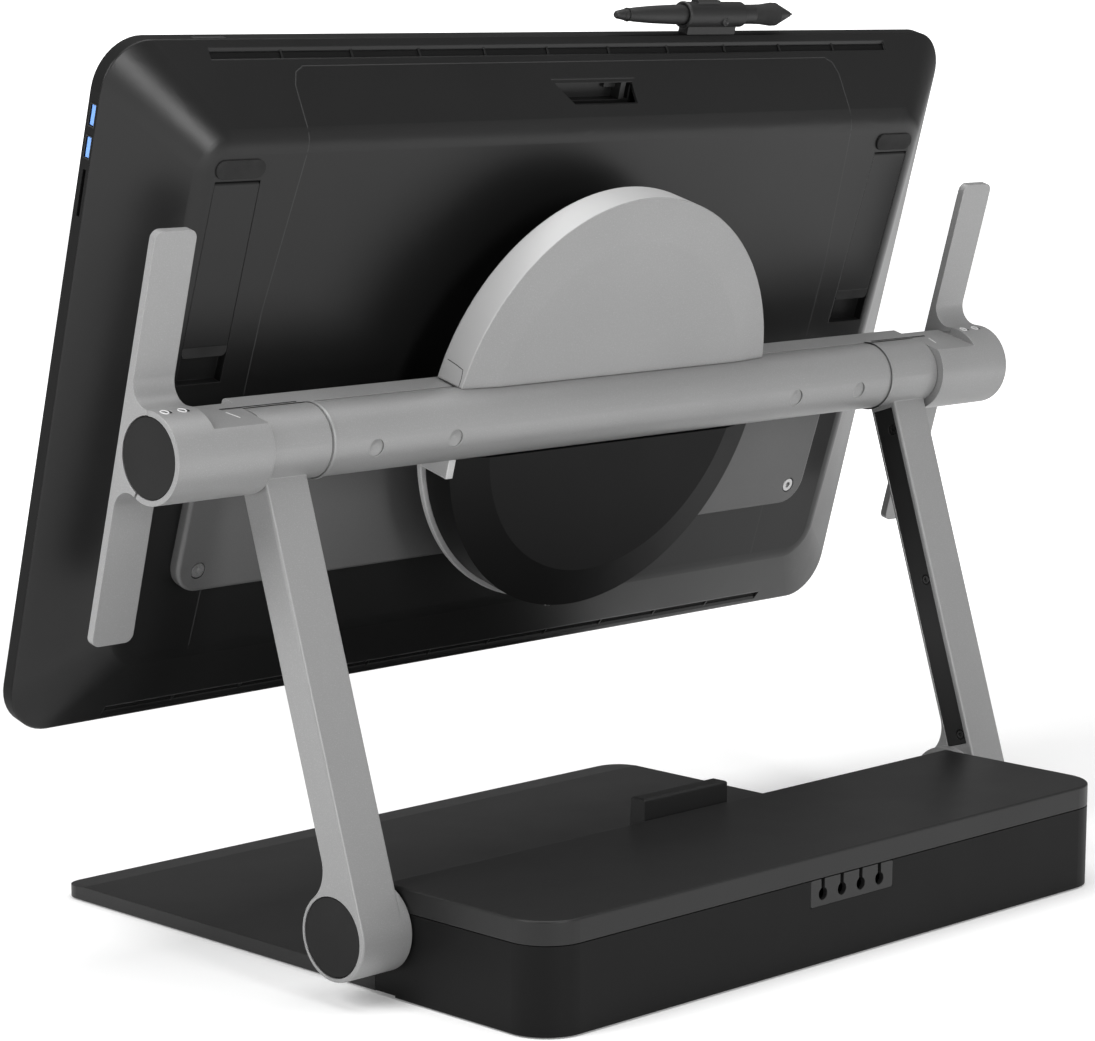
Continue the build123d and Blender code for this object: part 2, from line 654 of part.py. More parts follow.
# screws with dished heads, a little below the cover's surface
DISH_R = (SCREW_HEAD_R**2 + SCREW_DISH**2) / (2 * SCREW_DISH)
with BuildPart() as tube_cover_screws:
    for x in TUBE_SCREWS:
        top = TUBE_R - SCREW_SUNK
        with BuildSketch(across(x, "rear").offset(BEAM_SPLIT - 3.8)):
            Circle(1.95)
        extrude(amount=top - SCREW_HEAD_T - BEAM_SPLIT + 3.8)
        with BuildSketch(across(x, "rear").offset(top - SCREW_HEAD_T)):
            Circle(SCREW_HEAD_R)
        extrude(amount=SCREW_HEAD_T)
        with Locations(across(x, "rear").offset(top + DISH_R - SCREW_DISH)):
            Sphere(DISH_R, mode=Mode.SUBTRACT)
save(tube_cover_screws.part, "tube_cover_screws")

with BuildPart() as tilt_shafts:
    with BuildSketch(HEAD.offset(SHAFT_X0)):
        Circle(SPINDLE_R)
    extrude(amount=SHAFT_X1 - SHAFT_X0)
    with BuildSketch(HEAD.offset(SHAFT_X1 - SHAFT_HEAD_T)):
        RegularPolygon(SHAFT_HEAD_R, 6, major_radius=False)
    extrude(amount=SHAFT_HEAD_T)
    mirror(about=Plane.YZ)
save(tilt_shafts.part, "tilt_shafts")

# stack of brake discs between each sleeve's web and its shaft's head
with BuildPart() as brake_discs:
    for i in range(BRAKE_DISCS):
        with BuildSketch(HEAD.offset(SLEEVE_WEB_X + 0.5 + i * BRAKE_PITCH)):
            Circle(18.0 if i % 2 == 0 else 16.0)
            Circle(SPINDLE_R + 0.1, mode=Mode.SUBTRACT)
        extrude(amount=BRAKE_T)
    mirror(about=Plane.YZ)
save(brake_discs.part, "brake_discs")

with BuildPart() as head_caps:
    with BuildSketch(HEAD.offset(CAP_X)):
        Circle(LEVER_CORE_R - 0.2)
    extrude(amount=HEAD_CAP_T)
    fillet(head_caps.faces().sort_by(Axis.X)[-1].edges(), radius=0.6)
    with BuildSketch(HEAD.offset(CAP_X - HEAD_CAP_SKIRT)):
        Circle(SLEEVE_BORE_R - 0.1)
        Circle(SLEEVE_BORE_R - 2.1, mode=Mode.SUBTRACT)
    extrude(amount=HEAD_CAP_SKIRT)
    mirror(about=Plane.YZ)
save(head_caps.part, "head_caps")

lever_x = LEVER_INNER_X + 0.2
with BuildPart() as lever:
    with BuildSketch(HEAD.offset(lever_x)) as lever_profile:
        Circle(SLEEVE_R)
        with Locations((LEVER_FRONT + LEVER_BAR_T / 2, (LEVER_TOP + LEVER_BOTTOM) / 2)):
            Rectangle(LEVER_BAR_T, LEVER_TOP - LEVER_BOTTOM)
        bar_rear = LEVER_FRONT + LEVER_BAR_T
        meet_v = sqrt(SLEEVE_R**2 - bar_rear**2)
        corners = lever_profile.vertices()
        fillet([corners.sort_by_distance((bar_rear, v, 0))[0] for v in (meet_v, -meet_v)], LEVER_BLEND_R)
        with BuildLine():
            Polyline(
                (0, 0),
                ring_point(30, LEVER_SPLIT + 0.6),
                (2 * SLEEVE_R, 30 * sin(radians(LEVER_SPLIT))),
                (2 * SLEEVE_R, -30 * sin(radians(LEVER_SPLIT))),
                ring_point(30, -LEVER_SPLIT - 0.6),
                close=True,
            )
        make_face(mode=Mode.SUBTRACT)
        Circle(LEVER_RING_R, mode=Mode.SUBTRACT)
    extrude(amount=SLEEVE_OUTER_X - lever_x)
    fillet(lever.edges().filter_by(Axis((0, 0, 0), DEPTH_DIR)).group_by(Axis.Z)[-1], radius=5)
    fillet(lever.edges().filter_by(Axis((0, 0, 0), DEPTH_DIR)).group_by(Axis.Z)[0], radius=5)
for name, sign in SIDES.items():
    save(mirror_if(lever, sign), f"{name}_lever")

with BuildPart() as sleeve_screws:
    for x in [sign * x for sign in (1, -1) for x in SLEEVE_SCREW_X]:
        with BuildSketch(across(x, "up").offset(SLEEVE_R - 2.2)):
            Circle(2.2)
            RegularPolygon(1.0, 6, mode=Mode.SUBTRACT)
        extrude(amount=2.0)
save(sleeve_screws.part, "sleeve_screws")

# ======================================================================================
# Rotation unit: disc covers on the head, turntable and axle on the display
# ======================================================================================
TUBE_GAP_V = TUBE_R + 0.2
DISC_WALL = 2.5
END_BLOCK_X, END_BLOCK_V = -DISC_R + 3.0, -TUBE_R - 6.2
END_BLOCK_W, END_BLOCK_H = 5.0, 12.0
RIM_W = 9.0
for name, sign, radius, edge, face in (
    ("upper", 1, DISC_R, UPPER_EDGE, UPPER_FACE),
    ("lower", -1, DISC_R - 0.9, LOWER_EDGE, LOWER_FACE),
):
    with BuildPart() as disc_cover:
        with BuildSketch(DISPLAY.offset(DISC_FRONT)):
            Circle(radius)
        extrude(amount=edge - DISC_FRONT)
        with BuildSketch(DISPLAY.offset(edge)):
            Circle(radius)
        with BuildSketch(DISPLAY.offset(face)):
            Circle(DISC_CORE_R)
        loft()
        with BuildSketch(DISPLAY.offset(DISC_FRONT)):
            Circle(radius - DISC_WALL)
        extrude(amount=edge - DISC_FRONT - DISC_WALL, mode=Mode.SUBTRACT)
        with BuildSketch(DISPLAY.offset(DISC_FRONT)):
            Circle(DISC_CORE_R - DISC_WALL)
        extrude(amount=face - DISC_FRONT - DISC_WALL, mode=Mode.SUBTRACT)
        # only the half above or below the cross tube is left
        with BuildSketch(DISPLAY.offset(DISC_FRONT - 1)):
            with Locations((0, sign * (TUBE_GAP_V - 2 * radius))):
                Rectangle(4 * radius, 4 * radius)
            if sign < 0:
                with Locations((END_BLOCK_X, END_BLOCK_V)):
                    Rectangle(END_BLOCK_W + 1, END_BLOCK_H + 1)
        extrude(amount=60, mode=Mode.SUBTRACT)
    save(disc_cover.part, f"disc_cover_{name}")

with BuildPart() as disc_trim:
    # thin rim in front of the lower cover, and the light block at the cover's left end
    with BuildSketch(DISPLAY.offset(RIM_FRONT)):
        Circle(RIM_R)
        with Locations((0, 2 * RIM_R - TUBE_GAP_V)):
            Rectangle(4 * RIM_R, 4 * RIM_R, mode=Mode.SUBTRACT)
        Circle(RIM_R - RIM_W, mode=Mode.SUBTRACT)
    extrude(amount=RIM_T)
    with BuildSketch(DISPLAY.offset(DISC_FRONT + 1)):
        with Locations((END_BLOCK_X, END_BLOCK_V)):
            Rectangle(END_BLOCK_W, END_BLOCK_H)
    extrude(amount=LOWER_EDGE - DISC_FRONT + 1.0)
save(disc_trim.part, "disc_trim")

with BuildPart() as rotor_plate:
    with BuildSketch(DISPLAY.offset(ROTOR_FRONT)):
        Circle(ROTOR_R)
        Circle(AXLE_R + RUNNING, mode=Mode.SUBTRACT)
    extrude(amount=ROTOR_REAR - ROTOR_FRONT)
save(rotor_plate.part, "rotor_plate")

# The turntable and the axle's flange are wedge-shaped: their front faces lie on the adapter.
TURN_FACE = ROTOR_FRONT - TURN_GAP
TURN_BLANK = 30.0
with BuildPart() as turntable_ring:
    with BuildSketch(DISPLAY.offset(TURN_FACE)):
        Circle(TURNTABLE_R1)
        Circle(TURNTABLE_R0, mode=Mode.SUBTRACT)
    extrude(amount=-TURN_BLANK)
    with BuildSketch(BACK.offset(ADAPTER_T)):
        Circle(2 * TURNTABLE_R1)
    extrude(amount=-TURN_BLANK, mode=Mode.SUBTRACT)
save(turntable_ring.part, "turntable_ring")

with BuildPart() as rotation_axle:
    with BuildSketch(DISPLAY.offset(TURN_FACE)):
        Circle(AXLE_FLANGE_R)
    extrude(amount=-TURN_BLANK)
    with BuildSketch(BACK.offset(ADAPTER_T)):
        Circle(2 * AXLE_FLANGE_R)
    extrude(amount=-TURN_BLANK, mode=Mode.SUBTRACT)
    with BuildSketch(DISPLAY.offset(TURN_FACE)):
        Circle(AXLE_R)
    extrude(amount=TUBE_DEPTH + BEAM_SPLIT + 0.3 - TURN_FACE)
    with BuildSketch(DISPLAY.offset(TUBE_DEPTH + BEAM_SPLIT + 0.3)):
        Circle(AXLE_HEAD_R)
    extrude(amount=AXLE_HEAD_T)
save(rotation_axle.part, "rotation_axle")

with BuildPart() as adapter_plate:
    with BuildSketch(BACK) as adapter_outline:
        with Locations((0, (ADAPTER_TOP + ADAPTER_BOTTOM) / 2)):
            RectangleRounded(2 * ADAPTER_HALF_X, ADAPTER_TOP - ADAPTER_BOTTOM, 17)
        Circle(ADAPTER_HUB_R)
    extrude(amount=ADAPTER_T)
    rear_face = adapter_plate.faces().sort_by(Axis((0, 0, 0), BACK.z_dir))[-1]
    fillet(rear_face.edges(), radius=2.5)
    for x, v in ADAPTER_SCREWS:
        with BuildSketch(BACK.offset(ADAPTER_T - 2.6)):
            with Locations((x, v)):
                Circle(5.0)
        extrude(amount=4, mode=Mode.SUBTRACT)
        with BuildSketch(BACK):
            with Locations((x, v)):
                Circle(2.2)
        extrude(amount=ADAPTER_T, mode=Mode.SUBTRACT)
save(adapter_plate.part, "adapter_plate")

with BuildPart() as adapter_screws:
    for x, v in ADAPTER_SCREWS:
        with BuildSketch(BACK.offset(ADAPTER_T - 2.6)):
            with Locations((x, v)):
                Circle(4.3)
                RegularPolygon(2.1, 6, mode=Mode.SUBTRACT)
        extrude(amount=2.4)
        with BuildSketch(BACK.offset(-6)):
            with Locations((x, v)):
                Circle(2.1)
        extrude(amount=6 + ADAPTER_T - 2.6)
save(adapter_screws.part, "adapter_screws")

# ======================================================================================
# Display: glass, frame, panel, boards, wedge-shaped back cover
# ======================================================================================
GLASS_T = 2.0
FRAME_INSET = 12.0
with BuildPart() as front_glass:
    with BuildSketch(DISPLAY):
        RectangleRounded(DISPLAY_W - 5, DISPLAY_H - 5, CORNER_R - 2.5)
    extrude(amount=GLASS_T)
save(front_glass.part, "front_glass")

PORT_H, PORT_T, PORT_DEEP = 12.8, 5.6, 9.0
CARD_H, CARD_T = 25.5, 2.6
PORT_N = 4.7
TONGUE_T, TONGUE_SIDE_GAP = 3.0, 2.0
EDGE_OPENINGS = [(v, PORT_H, PORT_T) for v in PORT_V] + [(CARD_V, CARD_H, CARD_T)]
BUTTON_W, BUTTON_V0 = 23.0, 188.2
BUTTON_N0, BUTTON_N1 = 3.0, 6.8
with BuildPart() as front_frame:
    with BuildSketch(DISPLAY):
        RectangleRounded(DISPLAY_W, DISPLAY_H, CORNER_R)
    extrude(amount=RIM_WALL)
    with BuildSketch(DISPLAY):
        RectangleRounded(DISPLAY_W - 4.8, DISPLAY_H - 4.8, CORNER_R - 2.4)
    extrude(amount=GLASS_T, mode=Mode.SUBTRACT)
    with BuildSketch(DISPLAY):
        RectangleRounded(DISPLAY_W - 2 * FRAME_INSET, DISPLAY_H - 2 * FRAME_INSET, CORNER_R - FRAME_INSET)
    extrude(amount=RIM_WALL, mode=Mode.SUBTRACT)
    for v, height, thick in EDGE_OPENINGS:
        with BuildSketch(DISPLAY.offset(PORT_N - thick / 2)):
            with Locations((-(DISPLAY_W - PORT_DEEP) / 2 - 0.5, v)):
                Rectangle(PORT_DEEP + 1, height)
        extrude(amount=thick, mode=Mode.SUBTRACT)
    with BuildSketch(DISPLAY.offset(BUTTON_N0)):
        with Locations((-BUTTON_X, BUTTON_V0 + 7)):
            Rectangle(BUTTON_W, 14)
    extrude(amount=BUTTON_N1 - BUTTON_N0, mode=Mode.SUBTRACT)
save(front_frame.part, "front_frame")

with BuildPart() as usb_ports:
    for v in PORT_V:
        with BuildSketch(DISPLAY.offset(PORT_N - PORT_T / 2 + 0.1)):
            with Locations((-(DISPLAY_W - PORT_DEEP) / 2 - 0.3, v)):
                Rectangle(PORT_DEEP - 0.2, PORT_H - 0.2)
        extrude(amount=PORT_T - 0.2)
        with BuildSketch(DISPLAY.offset(PORT_N - PORT_T / 2 + 0.6)):
            with Locations((-(DISPLAY_W - PORT_DEEP) / 2 - 1.5, v)):
                Rectangle(PORT_DEEP - 0.2, PORT_H - 1.4)
        extrude(amount=PORT_T - 1.2, mode=Mode.SUBTRACT)
save(usb_ports.part, "usb_ports")

with BuildPart() as usb_tongues:
    for v in PORT_V:
        with BuildSketch(DISPLAY.offset(PORT_N - TONGUE_T / 2)):
            with Locations((-(DISPLAY_W - PORT_DEEP) / 2 - 0.6, v)):
                Rectangle(PORT_DEEP - 2.0, PORT_H - TONGUE_SIDE_GAP)
        extrude(amount=TONGUE_T)
save(usb_tongues.part, "usb_tongues")

with BuildPart() as lcd_panel:
    with BuildSketch(DISPLAY.offset(GLASS_T + 0.2)):
        Rectangle(545, 316)
    extrude(amount=8)
save(lcd_panel.part, "lcd_panel")

with BuildPart() as digitizer_board:
    with BuildSketch(DISPLAY.offset(GLASS_T + 8.4)):
        Rectangle(540, 311)
    extrude(amount=1.0)
save(digitizer_board.part, "digitizer_board")

MID_DEPTH = GLASS_T + 9.6
MID_T, POST_R, POST_H = 1.6, 3.0, 3.0
BOARD_X, BOARD_V, BOARD_W, BOARD_H, BOARD_T = -60.0, 70.0, 230.0, 120.0, 1.6
with BuildPart() as mid_frame:
    with BuildSketch(DISPLAY.offset(MID_DEPTH)):
        RectangleRounded(620, 330, 8)
        with Locations([(x, 0) for x in (-200, 0, 200)]):
            RectangleRounded(90, 50, 6, mode=Mode.SUBTRACT)
    extrude(amount=MID_T)
    # posts that carry the main board
    with BuildSketch(DISPLAY.offset(MID_DEPTH + MID_T)):
        with Locations((BOARD_X, BOARD_V)):
            with GridLocations(BOARD_W - 20, BOARD_H - 20, 2, 2):
                Circle(POST_R)
    extrude(amount=POST_H)
save(mid_frame.part, "mid_frame")

BOARD_DEPTH = MID_DEPTH + MID_T + POST_H
CHIPS = ((-110, 90, 34, 34, 2.4), (-20, 60, 20, 26, 1.8), (-60, 40, 48, 12, 3.0))
with BuildPart() as main_board:
    with BuildSketch(DISPLAY.offset(BOARD_DEPTH)):
        with Locations((BOARD_X, BOARD_V)):
            Rectangle(BOARD_W, BOARD_H)
    extrude(amount=BOARD_T)
    for x, v, w, h, t in CHIPS:
        with BuildSketch(DISPLAY.offset(BOARD_DEPTH + BOARD_T)):
            with Locations((x, v)):
                Rectangle(w, h)
        extrude(amount=t)
save(main_board.part, "main_board")

SINK_X, SINK_V, SINK_W, SINK_H = 170.0, 90.0, 120.0, 80.0
SINK_BASE_T, FINS, FIN_PITCH, FIN_T, FIN_H = 2.0, 13, 9.0, 1.6, 12.0
with BuildPart() as heat_sink:
    with BuildSketch(DISPLAY.offset(MID_DEPTH + MID_T)):
        with Locations((SINK_X, SINK_V)):
            Rectangle(SINK_W, SINK_H)
    extrude(amount=SINK_BASE_T)
    with BuildSketch(DISPLAY.offset(MID_DEPTH + MID_T + SINK_BASE_T)):
        with Locations((SINK_X, SINK_V)):
            with GridLocations(FIN_PITCH, 0, FINS, 1):
                Rectangle(FIN_T, SINK_H - 4)
    extrude(amount=FIN_H)
save(heat_sink.part, "heat_sink")

SLOT_HALF_X = 274.6
SLOT_DEPTHS = {1: (11.2, 15.2), -1: (9.5, 12.5)}
SCREEN_T, SCREEN_EDGE, SCREEN_GAP = 0.8, 1.5, 0.25
POCKET_X0, POCKET_X1 = -28.0, 35.5
POCKET_V0, POCKET_V1 = 163.5, 174.0
POCKET_SLANT = 12.0
POCKET_FLOOR = 18.5
LEG_POCKET_V0, LEG_POCKET_V1 = 14.5, 130.1
PIN_R, PIN_REACH = 1.5, 18.0
PIVOT_DEPTH = -2.6
VENTS = 11
VENT_PITCH = 2 * SLOT_HALF_X / VENTS
VENT_RIB = 1.2
GROOVE_DEPTH = 1.4


def slope_v(sign, depth):
    """Distance from the middle to the inside of the upper or lower slope at a depth."""
    v0, v1 = DISPLAY_H / 2 - SHELL_T, BACK_H / 2 - SHELL_T / 2
    depth1 = BACK_DEPTH - SHELL_T + sign * v1 * tan(radians(WEDGE))
    return v0 + (v1 - v0) * (depth - RIM_WALL) / (depth1 - RIM_WALL)


def outer_slope_v(sign, depth):
    """Distance from the middle to the outside of the upper or lower slope at a depth."""
    v0, v1 = DISPLAY_H / 2, BACK_H / 2
    depth1 = BACK_DEPTH + sign * v1 * tan(radians(WEDGE))
    return v0 + (v1 - v0) * (depth - RIM_WALL) / (depth1 - RIM_WALL)


def display_yz(v, depth):
    point = DISPLAY.from_local_coords((0, v, depth))
    return (point.Y, point.Z)


pivot = BACK.from_local_coords((0, LEG_PIVOT_V, PIVOT_DEPTH))
pivot_yz = (pivot.Y, pivot.Z)


def back_shell(grow, lift):
    """Loft from the rim's outline to the outline of the wedge-shaped back."""
    with BuildPart() as shell:
        with BuildSketch(DISPLAY.offset(RIM_WALL + lift)):
            RectangleRounded(DISPLAY_W + 2 * grow, DISPLAY_H + 2 * grow, CORNER_R + grow)
        with BuildSketch(BACK.offset(min(grow, 0))):
            RectangleRounded(BACK_W + grow, BACK_H + grow, 20 + grow / 2)
        loft(ruled=True)
    return shell


with BuildPart() as back_cover:
    add(back_shell(0, 0).part)
    back_face = back_cover.faces().sort_by(Axis(BACK.origin, BACK.z_dir))[-1]
    fillet(back_face.edges(), radius=BACK_BLEND_R)
    add(back_shell(-SHELL_T, 0).part, mode=Mode.SUBTRACT)
    # leg pockets, with a finger notch at the leg's tip
    for sign in (1, -1):
        with BuildSketch(BACK.offset(-LEG_T - 3.5)):
            with Locations((sign * LEG_X, (LEG_POCKET_V0 + LEG_POCKET_V1) / 2)):
                Rectangle(LEG_W + 6, LEG_POCKET_V1 - LEG_POCKET_V0 + 4)
        extrude(amount=LEG_T + 3.0)
        with BuildSketch(BACK.offset(-LEG_T - 0.8)):
            with Locations((sign * LEG_X, (LEG_POCKET_V0 + LEG_POCKET_V1) / 2)):
                Rectangle(LEG_W + 0.1, LEG_POCKET_V1 - LEG_POCKET_V0)
        extrude(amount=LEG_T + 5, mode=Mode.SUBTRACT)
    for sign in (1, -1):
        with BuildSketch(side(sign * (LEG_X - PIN_REACH - 1))):
            with Locations(pivot_yz):
                Circle(PIN_R)
        extrude(amount=sign * 2 * (PIN_REACH + 1), mode=Mode.SUBTRACT)
    # shallow grooves in the upper and lower slopes, with vent slots between ribs under them
    for sign, depths in SLOT_DEPTHS.items():
        outside = [(sign * (outer_slope_v(sign, n) + 1), n) for n in depths]
        inside = [(v - sign * (GROOVE_DEPTH + 1), n) for v, n in reversed(outside)]
        with BuildSketch(side(-SLOT_HALF_X)):
            with BuildLine():
                Polyline(*[display_yz(v, n) for v, n in outside + inside], close=True)
            make_face()
        extrude(amount=2 * SLOT_HALF_X, mode=Mode.SUBTRACT)
    for sign, (near, far) in SLOT_DEPTHS.items():
        v0, v1 = slope_v(sign, far) - 1, DISPLAY_H / 2 + 1
        with BuildSketch(DISPLAY.offset(near)):
            with Locations((0, sign * (v0 + v1) / 2)):
                with GridLocations(VENT_PITCH, 0, VENTS, 1):
                    Rectangle(VENT_PITCH - VENT_RIB, v1 - v0)
        extrude(amount=far - near, mode=Mode.SUBTRACT)
    # screw bosses for the adapter plate
    with BuildSketch(BACK.offset(-10)):
        with Locations(ADAPTER_SCREWS):
            Circle(5)
    extrude(amount=8.5)
    with BuildSketch(BACK.offset(-6)):
        with Locations(ADAPTER_SCREWS):
            Circle(2.1)
    extrude(amount=10, mode=Mode.SUBTRACT)
    # pocket for the latch, slanted at one end
    with BuildSketch(DISPLAY.offset(POCKET_FLOOR - SHELL_T)):
        with Locations(((POCKET_X0 + POCKET_X1) / 2, (POCKET_V0 + POCKET_V1) / 2)):
            Rectangle(POCKET_X1 - POCKET_X0 + 5, POCKET_V1 - POCKET_V0 + 5)
    extrude(amount=9)
    with BuildSketch(DISPLAY.offset(POCKET_FLOOR)):
        with BuildLine():
            Polyline(
                (POCKET_X0, POCKET_V1),
                (POCKET_X1, POCKET_V1),
                (POCKET_X1, POCKET_V0),
                (POCKET_X0 + POCKET_SLANT, POCKET_V0),
                close=True,
            )
        make_face()
    extrude(amount=30, mode=Mode.SUBTRACT)
save(back_cover.part, "back_cover")

LATCH_X, LATCH_W, LATCH_H = POCKET_X1 - 6, 4.0, 7.0
PRONG_W, PRONG_H, PRONG_T = 9.0, 3.0, 2.0
with BuildPart() as pocket_latch:
    with BuildSketch(DISPLAY.offset(POCKET_FLOOR)):
        with Locations((LATCH_X, (POCKET_V0 + POCKET_V1) / 2)):
            Rectangle(LATCH_W, POCKET_V1 - POCKET_V0 - 0.4)
    extrude(amount=LATCH_H)
    with BuildSketch(DISPLAY.offset(POCKET_FLOOR)):
        with Locations((LATCH_X - (LATCH_W + PRONG_W) / 2, POCKET_V1 - PRONG_H)):
            Rectangle(PRONG_W, PRONG_H)
    extrude(amount=PRONG_T)
save(pocket_latch.part, "pocket_latch")

# dust screens behind the slots, flat against the inside of the slopes
with BuildPart() as vent_screens:
    for sign, (near, far) in SLOT_DEPTHS.items():
        ends = (near - SCREEN_EDGE, far + SCREEN_EDGE)
        outer = [(sign * (slope_v(sign, n) - SCREEN_GAP), n) for n in ends]
        inner = [(v - sign * SCREEN_T, n) for v, n in reversed(outer)]
        with BuildSketch(side(-SLOT_HALF_X)):
            with BuildLine():
                Polyline(*[display_yz(v, n) for v, n in outer + inner], close=True)
            make_face()
        extrude(amount=2 * SLOT_HALF_X)
save(vent_screens.part, "vent_screens")

with BuildPart() as rear_pads:
    with BuildSketch(BACK):
        with Locations((LEG_X, PAD_V), (-LEG_X, PAD_V)):
            SlotOverall(PAD_L, PAD_H)
    extrude(amount=PAD_T)
    top_faces = rear_pads.faces().filter_by(BACK).sort_by(Axis(BACK.origin, BACK.z_dir))[-2:]
    fillet(top_faces.edges(), radius=0.5)
save(rear_pads.part, "rear_pads")

# Fold-out legs, hinged at their upper ends
LEG_FOOT = 6.0
for name, sign in SIDES.items():
    with BuildPart() as leg:
        with BuildSketch(BACK.offset(PIVOT_DEPTH - LEG_T / 2)):
            with Locations((-sign * LEG_X, (LEG_PIVOT_V + LEG_TIP_V + LEG_FOOT) / 2)):
                Rectangle(LEG_W - 0.4, LEG_PIVOT_V - LEG_TIP_V - LEG_FOOT)
        extrude(amount=LEG_T)
        with BuildSketch(side(sign * (LEG_X - LEG_W / 2 + 0.2))):
            with Locations(pivot_yz):
                Circle(LEG_T / 2)
        extrude(amount=sign * (LEG_W - 0.4))
        with BuildSketch(side(sign * (LEG_X - LEG_W / 2))):
            with Locations(pivot_yz):
                Circle(PIN_R + RUNNING)
        extrude(amount=sign * LEG_W, mode=Mode.SUBTRACT)
    save(leg.part, f"{name}_leg")

    with BuildPart() as leg_foot:
        with BuildSketch(BACK.offset(PIVOT_DEPTH - LEG_T / 2)) as foot_plan:
            with Locations((-sign * LEG_X, LEG_TIP_V + LEG_FOOT / 2)):
                Rectangle(LEG_W - 0.4, LEG_FOOT)
            fillet(foot_plan.vertices().group_by(Axis.Y)[0], radius=3)
        extrude(amount=LEG_T)
    save(leg_foot.part, f"{name}_leg_foot")

with BuildPart() as leg_pins:
    for sign in (1, -1):
        with BuildSketch(side(sign * (LEG_X - PIN_REACH))):
            with Locations(pivot_yz):
                Circle(PIN_R)
        extrude(amount=sign * 2 * PIN_REACH)
save(leg_pins.part, "leg_pins")

# ======================================================================================
# Power button, pen holder and pen on the display's top edge
# ======================================================================================
with BuildPart() as power_button:
    with BuildSketch(DISPLAY.offset(BUTTON_N0 + 0.3)):
        with Locations((-BUTTON_X, BUTTON_V0 + 5.0)):
            Rectangle(BUTTON_W - 0.6, 7.4)
    extrude(amount=BUTTON_N1 - BUTTON_N0 - 0.6)
save(power_button.part, "power_button")

# Across the pen: local x out of the display's back, y up the display, z towards the pen's tip.
PEN_BORE_R = 6.3
PEN_HOLE = Plane(
    origin=DISPLAY.from_local_coords((0, PEN_V, PEN_DEPTH)),
    x_dir=tuple(-c for c in DEPTH_DIR),
    z_dir=(-1, 0, 0),
)
HOLDER_LENGTH = HOLDER_X0 - HOLDER_X1
with BuildPart() as pen_holder:
    with BuildSketch(PEN_HOLE.offset(-HOLDER_X0 + 4)):
        Circle(PEN_BORE_R + HOLDER_WALL)
    extrude(amount=HOLDER_LENGTH - 8)
    # raised tab along the top of the loop
    with BuildSketch(DISPLAY.offset(PEN_DEPTH - TAB_HALF_N)):
        with Locations((-(TAB_X0 + TAB_X1) / 2, PEN_V + (PEN_BORE_R + HOLDER_WALL + TAB_RISE) / 2)):
            Rectangle(TAB_X0 - TAB_X1, PEN_BORE_R + HOLDER_WALL + TAB_RISE)
    extrude(amount=2 * TAB_HALF_N)
    with BuildSketch(DISPLAY.offset(1.0)):
        with Locations((-(HOLDER_X0 + HOLDER_X1) / 2, (DISPLAY_H / 2 + PEN_V - 3) / 2)):
            Rectangle(HOLDER_LENGTH - 16, PEN_V - 3 - DISPLAY_H / 2)
    extrude(amount=7.5)
    with BuildSketch(PEN_HOLE.offset(-HOLDER_X0)):
        Circle(PEN_BORE_R)
    extrude(amount=HOLDER_LENGTH, mode=Mode.SUBTRACT)
save(pen_holder.part, "pen_holder")

PEN_TAIL = PEN_HOLE.offset(-PEN_TAIL_X)
PEN_SECTION = Plane(origin=PEN_TAIL.origin, x_dir=(-1, 0, 0), z_dir=PEN_HOLE.x_dir)


def pen_piece(outline):
    """Turn an outline of (distance from the tail, radius) points about the pen's axis."""
    with BuildPart() as piece:
        with BuildSketch(PEN_SECTION):
            with BuildLine():
                Polyline(*outline, close=True)
            make_face()
        revolve(axis=Axis(PEN_SECTION.origin, PEN_SECTION.x_dir))
    return piece


EDGE, FRONT_GRIP, FLARE, GRIP_END, NIB_START = 6.0, 118.0, 135.5, 139.0, 153.0
PEN_PIECES = {
    "pen_eraser": [(0, 0), (0, 1.6), (1.2, 2.4), (EDGE - 0.2, 3.1), (EDGE - 0.2, 0)],
    "pen_body": [(EDGE, 0), (EDGE, 3.2), (16, 4.3), (30, 5.2), (50, 5.9), (FRONT_GRIP, 5.9), (FRONT_GRIP, 0)],
    "pen_grip": [(FRONT_GRIP, 0), (FRONT_GRIP, 5.9), (126, 6.1), (FLARE, 7.1), (GRIP_END, 7.0), (GRIP_END, 0)],
    "pen_tip": [
        (GRIP_END, 0),
        (GRIP_END, 6.9),
        (NIB_START, 1.7),
        (NIB_START, 1.2),
        (PEN_LENGTH, 0.4),
        (PEN_LENGTH, 0),
    ],
}
for name, outline in PEN_PIECES.items():
    save(pen_piece(outline).part, name)
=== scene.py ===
import math

import bmesh
import bpy
from mathutils import Matrix, Vector
from mathutils.bvhtree import BVHTree


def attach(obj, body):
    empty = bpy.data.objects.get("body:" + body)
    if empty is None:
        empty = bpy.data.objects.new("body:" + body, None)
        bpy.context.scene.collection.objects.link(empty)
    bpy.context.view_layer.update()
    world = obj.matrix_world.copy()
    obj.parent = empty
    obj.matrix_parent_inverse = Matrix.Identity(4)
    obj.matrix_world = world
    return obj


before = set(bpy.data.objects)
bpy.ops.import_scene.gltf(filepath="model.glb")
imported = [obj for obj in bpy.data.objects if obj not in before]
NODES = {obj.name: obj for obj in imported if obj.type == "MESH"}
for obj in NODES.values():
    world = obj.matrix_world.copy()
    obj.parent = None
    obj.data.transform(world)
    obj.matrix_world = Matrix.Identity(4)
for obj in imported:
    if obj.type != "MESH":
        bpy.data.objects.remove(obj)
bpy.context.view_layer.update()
MM = 0.001

